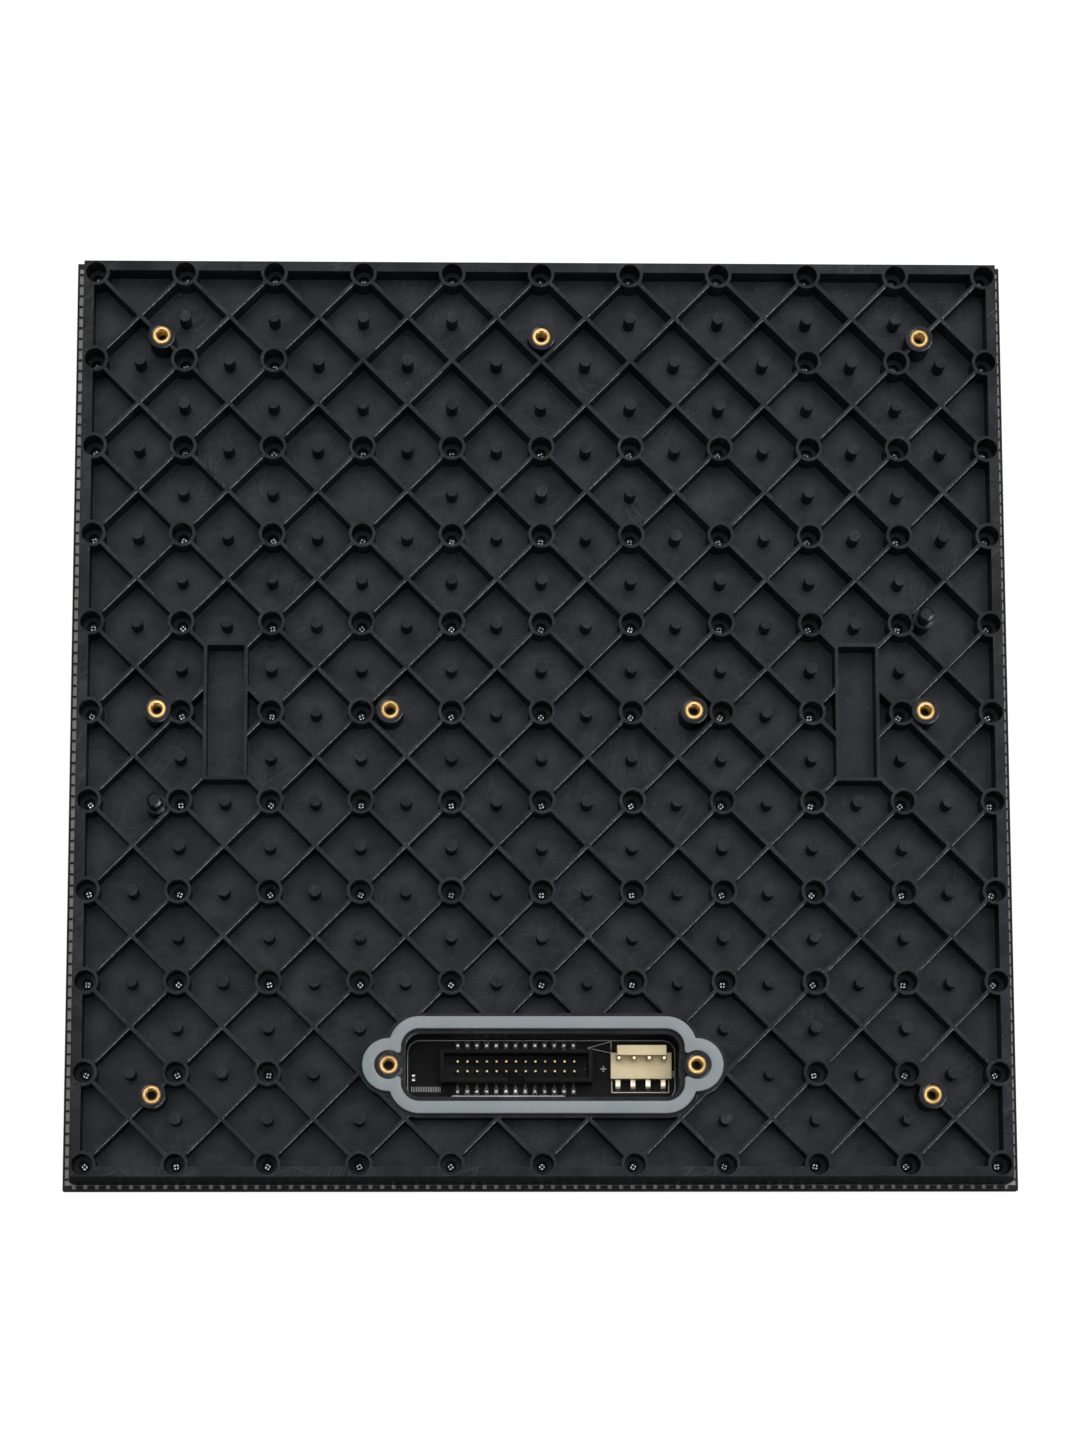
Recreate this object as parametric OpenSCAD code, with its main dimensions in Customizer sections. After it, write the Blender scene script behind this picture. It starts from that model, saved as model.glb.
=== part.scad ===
// Square LED display module, lying on its lamp face with the rear shell up.
// X runs along the lamp rows, Y points away from the connector bay, Z points out of the back.
// The origin is the middle of the lamp face.

/* [Face] */
// Width and height of the square face
module_w = 250; // [247:0.5:253]
// Depth of the louvre mask in front of the board
mask_t = 3.2; // [3:0.1:4]
// Wall of the mask's skirt round the board
skirt_t = 0.4; // [0.3:0.05:0.6]
// Thickness of the retaining ribs behind the board
retainer_t = 0.5; // [0.3:0.1:0.8]
// Width of the retaining ribs on the left and right edges
side_retainer_w = 0.5; // [0.3:0.1:0.9]
// Width of the retaining ribs on the top and bottom edges
end_retainer_w = 1.9; // [1.2:0.1:2.2]
// Gap between the retaining ribs and the foot of the shell
retainer_gap = 0.1; // [0.05:0.05:0.2]
// Width of the bars that cross the lamp slots
slot_bar_w = 0.8; // [0.6:0.1:1]
// Width of a lamp along its row
lamp_w = 1.5; // [1.3:0.1:1.6]
// Width of a lamp across its row
lamp_d = 1.4; // [1.2:0.1:1.5]
// Height of a lamp above the board
lamp_t = 1.3; // [1:0.1:1.6]
// Gap between a lamp and the mask
lamp_gap = 0.1; // [0.05:0.05:0.15]

/* [Board] */
// Thickness of the circuit board
board_t = 1.6; // [1.2:0.1:2]
// Gap between the edge of the board and the skirt
board_gap = 0.1; // [0.05:0.05:0.2]
// Diameter of the screw holes in the board
board_hole_d = 1.4; // [1.3:0.1:1.6]

/* [Rear shell] */
// Room for the chips between the board and the deck
cavity_h = 3.2; // [3:0.1:5]
// Thickness of the deck
deck_t = 1.8; // [1.4:0.1:2.5]
// Height of the ribs and the rim above the deck
rib_h = 8.8; // [7.5:0.1:11]
// Thickness of the diagonal ribs
rib_w = 1; // [0.8:0.1:1.4]
// Width of the flat top of the rim
rim_w = 2.6; // [2:0.1:3.2]
// Step from the edge of the face to the top of the side wall
rim_inset = 2.8; // [2.4:0.1:2.9]
// Step from the edge of the face to the foot of the side wall
foot_inset = 1.5; // [1.3:0.1:1.9]
// Wall under the deck that stands on the board
foot_wall_t = 2; // [1.6:0.1:2.6]
// Corner radius at the foot of the side wall
corner_r = 2; // [1:0.5:3]
// Outer diameter of the screw bosses
boss_d = 7.1; // [6.8:0.1:7.6]
// Bore of the screw bosses
bore_d = 5.5; // [4.8:0.1:5.6]
// Wall of the spacers under the deck round each screw head
spacer_wall = 0.7; // [0.5:0.1:1]
// Diameter of the small pegs
peg_d = 3.1; // [2.4:0.1:3.6]
// Step from the rim down to the tops of the small pegs
peg_drop = 0.2; // [0:0.1:1]
// Width of the two framed plates
plate_w = 11.6; // [10:0.1:13]
// Length of the two framed plates
plate_l = 36.8; // [32:0.2:40]
// Thickness of the frame round each plate
plate_wall = 0.9; // [0.7:0.1:1.2]

/* [Locating pins] */
// Distance of the pins above and below the middle line
pin_y = 25; // [24:0.2:26]
// Diameter of the pins
pin_d = 3.9; // [3.4:0.1:4.4]
// Height of the pins above the rim
pin_h = 7.4; // [5:0.2:9]
// Diameter of the stepped base
pin_base_d = 5.4; // [5:0.1:6]
// Height of the stepped base above the rim
pin_base_h = 0.6; // [0.4:0.1:1.5]
// Chamfer on the tip of the pins
pin_chamfer = 0.5; // [0.3:0.1:0.8]

/* [Screws] */
// Core diameter of the assembly screws
screw_d = 1; // [0.8:0.05:1.1]
// Diameter of the screw heads
head_d = 2.3; // [2:0.1:2.8]
// Height of the screw heads
head_t = 0.9; // [0.7:0.1:1.2]
// Depth of the screws in the mask
screw_bite = 2.3; // [1.8:0.1:2.3]
// Gap between a screw and its pilot hole
pilot_gap = 0.02; // [0.01:0.01:0.04]
// Room below the screw in its pilot hole
pilot_room = 0.3; // [0.1:0.1:0.5]
// Diameter of the holes under the screw heads
shank_hole_d = 1.6; // [1.3:0.1:1.8]
// Gap between a screw head and its well
head_gap = 0.35; // [0.2:0.05:0.5]
// Step from the underside of the deck to the screw heads' seats
seat_drop = 0.6; // [0.3:0.1:1.2]

/* [Inserts] */
// Outer diameter of the threaded inserts
insert_d = 5; // [4.6:0.1:5.4]
// Length of the threaded inserts
insert_l = 6; // [4:0.2:8]
// Bore of the threaded inserts
insert_bore_d = 2.5; // [2:0.1:3.2]
// Depth of the groove round the middle of an insert
insert_groove = 0.35; // [0.2:0.05:0.5]
// Chamfer at the mouth of an insert
insert_chamfer = 0.5; // [0.3:0.1:0.7]
// Gap between an insert and its pocket
insert_gap = 0.05; // [0.03:0.01:0.1]
// Outer diameter of the insert bosses
insert_boss_d = 7.2; // [6.8:0.1:7.6]
// Height of the insert bosses above the rim
insert_rise = 2; // [1:0.1:3]

/* [Connector bay] */
// Distance of the bay's middle from the lower edge of the face
bay_edge = 31.6; // [31:0.2:33]
// Distance from the end of the window to the insert in the ear
ear_step = 4.4; // [4.3:0.1:4.8]
// Free room above and below the feet of the signal header
bay_foot_room = 1.3; // [1:0.1:1.6]
// Corner radius of the bay's window
bay_r = 3.6; // [3:0.2:5]
// Wall of the bay under the deck
bay_wall_t = 1.6; // [1.2:0.1:2]
// Bare lip between the window and the gasket
bay_lip = 1.2; // [0.8:0.1:1.4]
// Bare lip of the collar outside the gasket
collar_lip = 1; // [0.6:0.1:1.4]
// Width of the gasket's band
gasket_w = 3.2; // [2.8:0.1:3.4]
// Thickness of the gasket
gasket_t = 2.2; // [1.6:0.1:3]
// Gap between the gasket and the insert bosses
gasket_gap = 0.1; // [0.05:0.05:0.2]
// Rounding of the gasket's inner corners beside the ears
gasket_fillet = 0.8; // [0.4:0.1:1.2]

/* [Signal header] */
// Free room of the window left of the header
header_room = 8.8; // [8:0.2:10]
// Place of the header across the bay
header_y = 0.4; // [0:0.1:0.8]
// Length of the shroud
header_l = 40; // [38.6:0.2:40.8]
// Width of the shroud
header_w = 8.8; // [8.4:0.1:9.2]
// Height of the shroud above its feet
header_t = 8.4; // [7.6:0.1:9.4]
// Wall of the shroud
header_wall = 1.2; // [0.8:0.1:1.4]
// Thickness of the shroud's floor
header_base_t = 2.2; // [1.6:0.1:2.8]
// Width of the keying slot
header_key_w = 4.2; // [3.6:0.1:5]
// Distance between the pins
header_pitch = 2.54; // [2.5:0.01:2.56]
// Side of the square pins
header_pin = 0.64; // [0.5:0.02:0.7]
// Height of the pin tips above the board
header_pin_h = 6.3; // [5.6:0.1:7]
// Reach of the feet from the middle of the header
header_foot = 6.9; // [6.4:0.1:7.2]
// Thickness of the feet
foot_t = 0.4; // [0.3:0.05:0.6]
// Gap between a pin and its hole
pin_gap = 0.03; // [0.02:0.01:0.05]

/* [Power header] */
// Gap between the signal header and the power header
connector_gap = 4.85; // [4:0.05:6]
// Free room of the window right of the power header
power_room = 1.65; // [1.2:0.05:2.5]
// Place of the power header across the bay
power_y = 0.7; // [0.3:0.1:1]
// Width of the wafer
power_w = 15.9; // [14.8:0.1:16.4]
// Depth of the wafer
power_d = 6.8; // [6.2:0.1:7.2]
// Height of the wafer
power_t = 5; // [4:0.2:6]
// Width of the locking wall
lock_w = 12.8; // [11:0.2:14]
// Thickness of the locking wall
lock_d = 2.1; // [1.6:0.1:2.4]
// Height of the locking wall
lock_t = 9.4; // [8:0.2:11]
// Depth of the catch under the top of the locking wall
lock_catch = 0.5; // [0.3:0.1:0.8]
// Distance between the power pins
power_pitch = 3.96; // [3.8:0.02:4]
// Side of the square power pins
power_pin = 1.14; // [0.9:0.02:1.3]
// Height of the power pins above the board
power_pin_h = 8.2; // [7:0.2:9]
// Place of the power pins across the wafer
power_pin_y = 1.8; // [1.2:0.1:2.2]
// Width of the flat tails
tail_w = 1.25; // [1:0.05:1.5]
// Thickness of the flat tails
tail_t = 0.6; // [0.4:0.1:0.8]
// Height of the tails above the board
tail_z = 0.8; // [0.5:0.1:1.2]
// Reach of the tails from the wafer
tail_l = 3; // [2.4:0.1:3.4]

/* [Board parts] */
// Side of the driver chips
driver_w = 4; // [3:0.2:5]
// Height of the driver chips
driver_t = 0.9; // [0.7:0.1:1.2]
// Cut corner that marks the first pin of a driver chip
driver_mark = 0.6; // [0.4:0.1:1]
// Distance of a driver's capacitor and resistor from its middle
driver_side = 4; // [3.6:0.1:5]
// Length of a row switch chip
switch_l = 9.9; // [8:0.1:11]
// Length of a signal buffer chip
buffer_l = 6.5; // [5:0.1:8]
// Length of the memory chip
memory_l = 4.9; // [4:0.1:6]
// Width of the leaded chips
chip_w = 3.9; // [3.4:0.1:4.4]
// Height of the leaded chips
chip_t = 1.5; // [1.2:0.1:1.8]
// Distance between the leads of the leaded chips
lead_pitch = 1.27; // [1.2:0.01:1.3]
// Width of a lead
lead_w = 0.4; // [0.3:0.05:0.5]
// Thickness of a lead
lead_t = 0.2; // [0.15:0.05:0.25]
// Reach of a lead from the chip
lead_l = 1; // [0.8:0.1:1.4]
// Length of a bulk capacitor
bulk_l = 7.3; // [6:0.1:8]
// Width of a bulk capacitor
bulk_w = 4.3; // [3.2:0.1:5]
// Height of a bulk capacitor
bulk_t = 2.8; // [2:0.1:2.9]
// Length of a chip capacitor or resistor
chip_part_l = 1.6; // [1:0.1:2]
// Width of a chip capacitor or resistor
chip_part_w = 0.8; // [0.5:0.1:1.2]
// Height of a chip capacitor
capacitor_t = 0.8; // [0.5:0.1:1.2]
// Height of a chip resistor
resistor_t = 0.45; // [0.3:0.05:0.6]
// Length of the end caps on the chip parts
end_cap = 0.35; // [0.2:0.05:0.4]
// Length of a termination resistor array
array_l = 3.2; // [2.4:0.1:4]
// Width of a termination resistor array
array_w = 1.6; // [1.2:0.1:2]
// Gap between the resistor arrays and the wall of the bay
array_gap = 1.5; // [1:0.1:2]
// Place of the bay resistor beside the window's end
bay_part_x = 2; // [1.4:0.1:3]
// Place of the bay resistor below the middle of the bay
bay_part_y = 2.1; // [1:0.1:3]

/* [Hidden] */
$fn = 48;

// Counts that the lamp grid fixes
led_count = 84;
slots_per_row = 4;
boss_step_leds = 8;
boss_edge_count = 2;
insert_edge_count = 8;
boss_half = (led_count - 2 * boss_edge_count) / boss_step_leds / 2;
bare_cols = 5;
header_cols = 13;
power_ways = 4;
driver_cols = 8;

// Places in the plane of the face
half = module_w / 2;
led_pitch = module_w / led_count;
boss_pitch = boss_step_leds * led_pitch;
insert_x = half - insert_edge_count * led_pitch;
plate_x = 3.5 * boss_pitch;
foot_w = module_w - 2 * foot_inset;
board_w = module_w - 2 * (skirt_t + board_gap);
retainer_l = foot_inset - retainer_gap;
slot_l = module_w / slots_per_row - slot_bar_w;
slot_w = lamp_d + 2 * lamp_gap;
lamps_per_slot = led_count / slots_per_row;

// The bay's window is as wide as its two headers and the room round them
bay_y = half - bay_edge;
bay_w = header_room + header_l + connector_gap + power_w + power_room;
bay_h = 2 * (header_foot + bay_foot_room);
pair_span = bay_w + 2 * ear_step;
header_x = header_room + header_l / 2 - bay_w / 2;
power_x = bay_w / 2 - power_room - power_w / 2;
array_y = bay_h / 2 + bay_wall_t + array_gap + array_w / 2 - bay_y;

// Levels from the lamp face to the back
z_board = mask_t;
z_back = z_board + board_t;
z_floor = z_back + cavity_h;
z_deck = z_floor + deck_t;
z_rim = z_deck + rib_h;
z_insert = z_rim + insert_rise;
z_seat = z_floor - seat_drop;
peg_h = rib_h - peg_drop;
draft = atan((rim_inset - foot_inset) / (z_rim - z_back));
screw_l = z_seat - z_board + screw_bite;
well_d = head_d + 2 * head_gap;
spacer_d = well_d + 2 * spacer_wall;
insert_room = 0.5;
cut = 1;

// Screw bosses stand on every point of the grid, apart from the middle of the second and the tenth row
boss_xy = [
    for (i = [-boss_half:boss_half], j = [-boss_half:boss_half])
        if (abs(j) != boss_half - 1 || 2 * abs(i) > bare_cols) [i, j] * boss_pitch
];

// Pegs stand in the middle of the diamonds that hold nothing else
function peg_is_bare(i, j) =
    (abs(i) == 2 && j == 2.5) ||
    (abs(j) < 0.1 && (abs(i) == 4.5 || abs(i) == 3.5 || abs(i) == 1.5)) ||
    (i == 0 && j == 4.5) ||
    (i == 4.5 && j == 1) || (i == -4.5 && j == -1) ||
    (j == -4 && abs(i) < 2) ||
    (abs(i) < 2 && (j == -3.5 || j == -4.5));
peg_cells = concat(
    [for (i = [0.5 - boss_half:boss_half - 0.5], j = [1 - boss_half:boss_half - 1]) [i, j]],
    [for (i = [1 - boss_half:boss_half - 1], j = [0.5 - boss_half:boss_half - 0.5]) [i, j]]
);
peg_xy = [for (c = peg_cells) if (!peg_is_bare(c[0], c[1])) c * boss_pitch];

// Inserts: four corners, top middle, two pairs on the middle line and one pair in the collar
insert_xy = concat(
    [for (x = [-1, 1], y = [-1, 1]) [x, y] * insert_x],
    [[0, insert_x], [-insert_x, 0], [insert_x, 0]],
    [for (s = [-1, 1], y = [0, -bay_y]) [s * pair_span / 2, y]]
);
driver_xy = [
    for (i = [0:driver_cols - 1], j = [0:driver_cols - 1])
        [i - (driver_cols - 1) / 2, j - (driver_cols - 1) / 2 + 1] * boss_pitch
];
bay = [0, -bay_y, 0];

module at_each(points) {
    for (p = points)
        translate([p[0], p[1], 0])
            children();
}

module layer(z, h) {
    translate([0, 0, z])
        linear_extrude(h)
            children();
}

// Rectangle with round corners
module round_rect(w, h, r) {
    square([w - 2 * r, h], center = true);
    square([w, h - 2 * r], center = true);
    at_each([for (x = [-1, 1], y = [-1, 1]) [x * (w / 2 - r), y * (h / 2 - r)]])
        circle(r);
}

// Outline of the bay: the window grown by a margin, with an ear round each insert of its pair
module bay_outline(grow, ear_r) {
    translate([0, -bay_y]) {
        round_rect(bay_w + 2 * grow, bay_h + 2 * grow, bay_r + grow);
        at_each([for (s = [-1, 1]) [s * pair_span / 2, 0]])
            circle(ear_r);
    }
}

module bay_window() {
    translate([0, -bay_y])
        round_rect(bay_w, bay_h, bay_r);
}

// Two sets of diagonal ribs, each through the screw bosses
module rib_lines() {
    for (k = [1 - 2 * boss_half:2 * boss_half - 1], s = [-1, 1])
        translate([k, s * k] * boss_pitch / 2)
            rotate(-45 * s)
                square([2 * module_w, rib_w], center = true);
}

module plate_frames(inset) {
    for (s = [-1, 1])
        translate([s * plate_x, 0])
            square([plate_w - 2 * inset, plate_l - 2 * inset], center = true);
}

// Everything that stands up to the rim
module web_outline() {
    difference() {
        union() {
            difference() {
                round_rect(foot_w, foot_w, corner_r);
                square(module_w - 2 * (rim_inset + rim_w), center = true);
            }
            intersection() {
                square(foot_w - rim_w, center = true);
                union() {
                    rib_lines();
                    at_each(boss_xy)
                        circle(d = boss_d);
                }
            }
            at_each(insert_xy)
                circle(d = insert_boss_d);
            plate_frames(0);
            bay_outline(bay_lip + gasket_w + collar_lip, ear_r() + collar_lip);
        }
        plate_frames(plate_wall);
        at_each(boss_xy)
            circle(d = bore_d);
        bay_window();
    }
}

function ear_hole_r() = insert_boss_d / 2 + gasket_gap;
function ear_r() = ear_hole_r() + gasket_w;

module deck_outline() {
    difference() {
        round_rect(foot_w, foot_w, corner_r);
        bay_window();
        at_each(boss_xy)
            circle(d = well_d);
    }
}

// Walls and spacers between the deck and the board
module foot_outline(hole_d) {
    difference() {
        union() {
            difference() {
                round_rect(foot_w, foot_w, corner_r);
                square(foot_w - 2 * foot_wall_t, center = true);
            }
            at_each(boss_xy)
                circle(d = spacer_d);
            translate([0, -bay_y])
                round_rect(bay_w + 2 * bay_wall_t, bay_h + 2 * bay_wall_t, bay_r + bay_wall_t);
        }
        bay_window();
        at_each(boss_xy)
            circle(d = hole_d);
    }
}

module locating_pin() {
    translate([0, 0, z_deck])
        cylinder(d = pin_base_d, h = rib_h + pin_base_h);
    translate([0, 0, z_rim]) {
        cylinder(d = pin_d, h = pin_h - pin_chamfer);
        translate([0, 0, pin_h - pin_chamfer])
            cylinder(d1 = pin_d, d2 = pin_d - 2 * pin_chamfer, h = pin_chamfer);
    }
}

// Cuts the slope of the four side walls
module side_draft() {
    for (a = [0:90:270])
        rotate(a)
            translate([half - foot_inset, 0, z_back])
                rotate([0, -draft, 0])
                    translate([0, -module_w, -cut])
                        cube([module_w, 2 * module_w, 4 * rib_h]);
}

module rear_shell() {
    color([0.13, 0.13, 0.14])
        difference() {
            union() {
                layer(z_back, z_seat - z_back)
                    foot_outline(shank_hole_d);
                layer(z_seat, z_floor - z_seat)
                    foot_outline(well_d);
                layer(z_floor, deck_t)
                    deck_outline();
                layer(z_deck, rib_h)
                    web_outline();
                layer(z_deck, peg_h)
                    at_each(peg_xy)
                        circle(d = peg_d);
                layer(z_rim, insert_rise)
                    at_each(insert_xy)
                        circle(d = insert_boss_d);
                at_each([[insert_x, pin_y], [-insert_x, -pin_y]])
                    locating_pin();
            }
            at_each(insert_xy)
                translate([0, 0, z_insert - insert_l - insert_room])
                    cylinder(d = insert_d + 2 * insert_gap, h = insert_l + insert_room + cut);
            side_draft();
        }
}

// Profile of one insert, turned round its axis
module insert_profile() {
    r = insert_d / 2;
    b = insert_bore_d / 2;
    polygon([
        [b, 0], [r - insert_chamfer, 0], [r, insert_chamfer], [r, insert_l * 0.4],
        [r - insert_groove, insert_l * 0.45], [r - insert_groove, insert_l * 0.55], [r, insert_l * 0.6],
        [r, insert_l], [b + insert_chamfer, insert_l], [b, insert_l - insert_chamfer]
    ]);
}

module threaded_inserts() {
    color([0.83, 0.62, 0.25])
        at_each(insert_xy)
            translate([0, 0, z_insert - insert_l])
                rotate_extrude()
                    insert_profile();
}

module assembly_screw() {
    translate([0, 0, z_seat - screw_l])
        cylinder(d = screw_d, h = screw_l);
    translate([0, 0, z_seat])
        intersection() {
            cylinder(d = head_d, h = head_t);
            translate([0, 0, head_t - head_d * 0.8])
                sphere(r = head_d * 0.8);
        }
}

module assembly_screws() {
    color([0.75, 0.75, 0.77])
        at_each(boss_xy)
            assembly_screw();
}

// Corner between an ear's hole and the end of the gasket's opening, filled so that it can be rounded
module ear_corner(side) {
    end_x = bay_w / 2 + bay_lip;
    centre = [end_x + gasket_fillet, fillet_y() * side];
    difference() {
        polygon([[end_x, 0], [end_x, centre[1]], centre, [pair_span / 2, 0]]);
        translate(centre)
            circle(gasket_fillet);
    }
}

// Height at which the rounding touches both the ear's hole and the end of the opening
function fillet_y() = sqrt(
    pow(ear_hole_r() + gasket_fillet, 2) -
    pow(pair_span / 2 - bay_w / 2 - bay_lip - gasket_fillet, 2)
);

module connector_gasket() {
    color([0.55, 0.57, 0.58])
        layer(z_rim, gasket_t)
            difference() {
                bay_outline(bay_lip + gasket_w, ear_r());
                bay_outline(bay_lip, ear_hole_r());
                for (end = [0, 180], side = [-1, 1])
                    translate([0, -bay_y])
                        rotate(end)
                            ear_corner(side);
            }
}

// Small ribs on the skirt that hold the board from behind: narrow at the sides, broad at the ends
module retainers() {
    for (s = [-1, 1]) {
        for (k = [1:led_count - 1])
            translate([s * (half - retainer_l / 2), k * led_pitch - half])
                square([retainer_l, side_retainer_w], center = true);
        for (k = [0:led_count - 1])
            translate([(k + 0.5) * led_pitch - half, s * (half - retainer_l / 2)])
                square([end_retainer_w, retainer_l], center = true);
    }
}

module lamp_slots() {
    for (row = [0:led_count - 1], s = [0:slots_per_row - 1])
        translate([(s + 0.5) * module_w / slots_per_row - half, (row + 0.5) * led_pitch - half])
            square([slot_l, slot_w], center = true);
}

module front_mask() {
    color([0.09, 0.09, 0.1])
        difference() {
            union() {
                layer(0, mask_t)
                    difference() {
                        square(module_w, center = true);
                        lamp_slots();
                    }
                layer(z_board, board_t)
                    difference() {
                        square(module_w, center = true);
                        square(module_w - 2 * skirt_t, center = true);
                    }
                layer(z_back, retainer_t) {
                    difference() {
                        square(module_w, center = true);
                        square(module_w - 2 * skirt_t, center = true);
                    }
                    retainers();
                }
            }
            at_each(boss_xy)
                translate([0, 0, z_board - screw_bite - pilot_room])
                    cylinder(d = screw_d + 2 * pilot_gap, h = screw_bite + pilot_room + cut);
        }
}

// Lamps of one slot as a single bar from the first lamp to the last
module led_lamps() {
    bar_l = (lamps_per_slot - 1) * led_pitch + lamp_w;
    color([0.16, 0.16, 0.15])
        for (row = [0:led_count - 1], s = [0:slots_per_row - 1])
            translate([(s + 0.5) * module_w / slots_per_row - half - bar_l / 2,
                       (row + 0.5) * led_pitch - half - lamp_d / 2, z_board - lamp_t])
                cube([bar_l, lamp_d, lamp_t]);
}

module circuit_board() {
    color([0.1, 0.11, 0.1])
        layer(z_board, board_t)
            difference() {
                square(board_w, center = true);
                at_each(boss_xy)
                    circle(d = board_hole_d);
            }
}

module header_grid(side) {
    for (k = [0:header_cols - 1], s = [-1, 1])
        translate([(k - (header_cols - 1) / 2) * header_pitch, s * header_pitch / 2])
            square(side, center = true);
}

module at_header() {
    translate(bay + [header_x, header_y, z_back])
        children();
}

module signal_header_housing() {
    color([0.06, 0.06, 0.06])
        at_header()
            difference() {
                layer(foot_t, header_t)
                    square([header_l, header_w], center = true);
                layer(foot_t + header_base_t, header_t)
                    square([header_l - 2 * header_wall, header_w - 2 * header_wall], center = true);
                translate([-header_key_w / 2, -header_w / 2 - cut, foot_t + header_base_t])
                    cube([header_key_w, header_wall + 2 * cut, header_t]);
                layer(foot_t - cut, header_base_t + 2 * cut)
                    header_grid(header_pin + 2 * pin_gap);
            }
}

module signal_header_pins() {
    color([0.85, 0.68, 0.32])
        at_header()
            for (k = [0:header_cols - 1], s = [0, 180])
                translate([(k - (header_cols - 1) / 2) * header_pitch, 0, 0])
                    rotate(s)
                        translate([0, header_pitch / 2 - header_pin / 2, 0]) {
                            translate([-header_pin / 2, 0, 0])
                                cube([header_pin, header_pin, header_pin_h]);
                            translate([-header_pin / 2, 0, 0])
                                cube([header_pin, header_foot - header_pitch / 2 + header_pin / 2, foot_t]);
                        }
}

module at_power() {
    translate(bay + [power_x, power_y, z_back])
        children();
}

module at_power_ways() {
    at_each([for (k = [0:power_ways - 1]) [(k - (power_ways - 1) / 2) * power_pitch, 0]])
        children();
}

// One pin with its flat tail, grown by a gap for the hole that it sits in
module power_contact(grow) {
    pin = power_pin + 2 * grow;
    translate([-pin / 2, power_pin_y - pin / 2, tail_z - grow])
        cube([pin, pin, power_pin_h - tail_z + grow]);
    translate([-tail_w / 2 - grow, -power_d / 2 - tail_l, tail_z - grow])
        cube([tail_w + 2 * grow, power_d / 2 + tail_l + power_pin_y, tail_t + 2 * grow]);
}

module power_header_housing() {
    color([0.88, 0.82, 0.66])
        at_power()
            difference() {
                union() {
                    layer(0, power_t)
                        square([power_w, power_d], center = true);
                    translate([-lock_w / 2, power_d / 2 - lock_catch, 0])
                        cube([lock_w, lock_d, lock_t]);
                    translate([-lock_w / 2, power_d / 2 - 2 * lock_catch, lock_t - 2 * lock_catch])
                        cube([lock_w, lock_d, 2 * lock_catch]);
                }
                at_power_ways()
                    power_contact(pin_gap);
            }
}

module power_header_pins() {
    color([0.8, 0.78, 0.72])
        at_power()
            at_power_ways() {
                power_contact(0);
                translate([-tail_w / 2, -power_d / 2 - tail_l, 0])
                    cube([tail_w, tail_t, tail_z + tail_t]);
            }
}

module driver_chips() {
    m = driver_w / 2;
    color([0.08, 0.08, 0.09])
        at_each(driver_xy)
            layer(z_back, driver_t)
                polygon([[-m, -m], [m, -m], [m, m], [driver_mark - m, m], [-m, m - driver_mark]]);
}

// Bent lead from the side of a chip down to the board
module chip_lead() {
    mid = chip_t / 2;
    foot = lead_l / 2;
    rotate([90, 0, 90])
        translate([0, 0, -lead_w / 2])
            linear_extrude(lead_w)
                polygon([
                    [0, mid], [foot - lead_t, mid], [foot, 0], [lead_l, 0], [lead_l, lead_t],
                    [foot + lead_t, lead_t], [foot, mid + lead_t], [0, mid + lead_t]
                ]);
}

// Chip with a row of bent leads along each long side
module leaded_chip(length) {
    leads = floor((length - lead_w) / lead_pitch) + 1;
    translate([0, 0, z_back]) {
        layer(lead_t, chip_t)
            square([length, chip_w], center = true);
        for (k = [0:leads - 1], side = [0, 180])
            rotate(side)
                translate([(k - (leads - 1) / 2) * lead_pitch, chip_w / 2, 0])
                    chip_lead();
    }
}

module row_switch_chips() {
    color([0.09, 0.09, 0.1])
        at_each([for (s = [-4.5, 4.5], j = [-2.5:2.5]) [s, j] * boss_pitch])
            leaded_chip(switch_l);
}

module signal_buffer_chips() {
    color([0.09, 0.09, 0.1])
        at_each([for (i = [-1.5:0.5]) [i, -3] * boss_pitch])
            leaded_chip(buffer_l);
}

module memory_chip() {
    color([0.09, 0.09, 0.1])
        at_each([[1.5, -3] * boss_pitch])
            leaded_chip(memory_l);
}

module bulk_capacitors() {
    color([0.75, 0.55, 0.18])
        at_each([for (i = [-3.5, -2.5, 2.5, 3.5]) [i, -3] * boss_pitch])
            layer(z_back, bulk_t)
                square([bulk_l, bulk_w], center = true);
}

// Chip part with raised end caps
module chip_part(w, l, t) {
    translate([0, 0, z_back]) {
        layer(0, t)
            square([w, l], center = true);
        for (s = [-1, 1])
            translate([0, s * (l - end_cap) / 2, 0])
                layer(0, t + end_cap / 10)
                    square([w, end_cap], center = true);
    }
}

module bypass_capacitors() {
    color([0.6, 0.5, 0.38])
        at_each([for (p = driver_xy) p + [driver_side, 0]])
            chip_part(chip_part_w, chip_part_l, capacitor_t);
}

module current_resistors() {
    color([0.1, 0.1, 0.1])
        at_each([for (p = driver_xy) p - [driver_side, 0]])
            chip_part(chip_part_w, chip_part_l, resistor_t);
}

module termination_resistors() {
    color([0.1, 0.1, 0.1])
        at_each([for (i = [-1.25:0.5:0.75]) [i * boss_pitch, array_y]])
            chip_part(array_l, array_w, resistor_t);
}

module bay_resistor() {
    color([0.1, 0.1, 0.1])
        at_each([[bay_part_x - bay_w / 2, -bay_y - bay_part_y]])
            chip_part(chip_part_w, chip_part_l, resistor_t);
}

front_mask();
led_lamps();
circuit_board();
rear_shell();
threaded_inserts();
assembly_screws();
connector_gasket();
signal_header_housing();
signal_header_pins();
power_header_housing();
power_header_pins();
driver_chips();
row_switch_chips();
signal_buffer_chips();
memory_chip();
bulk_capacitors();
bypass_capacitors();
current_resistors();
termination_resistors();
bay_resistor();
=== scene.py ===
"""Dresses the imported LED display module: finishes, small hardware, lamps, board print, light and camera."""

import logging
import math
from dataclasses import dataclass
from enum import Enum
from functools import cached_property
from typing import Callable

import bpy
from mathutils import Matrix, Vector


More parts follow.
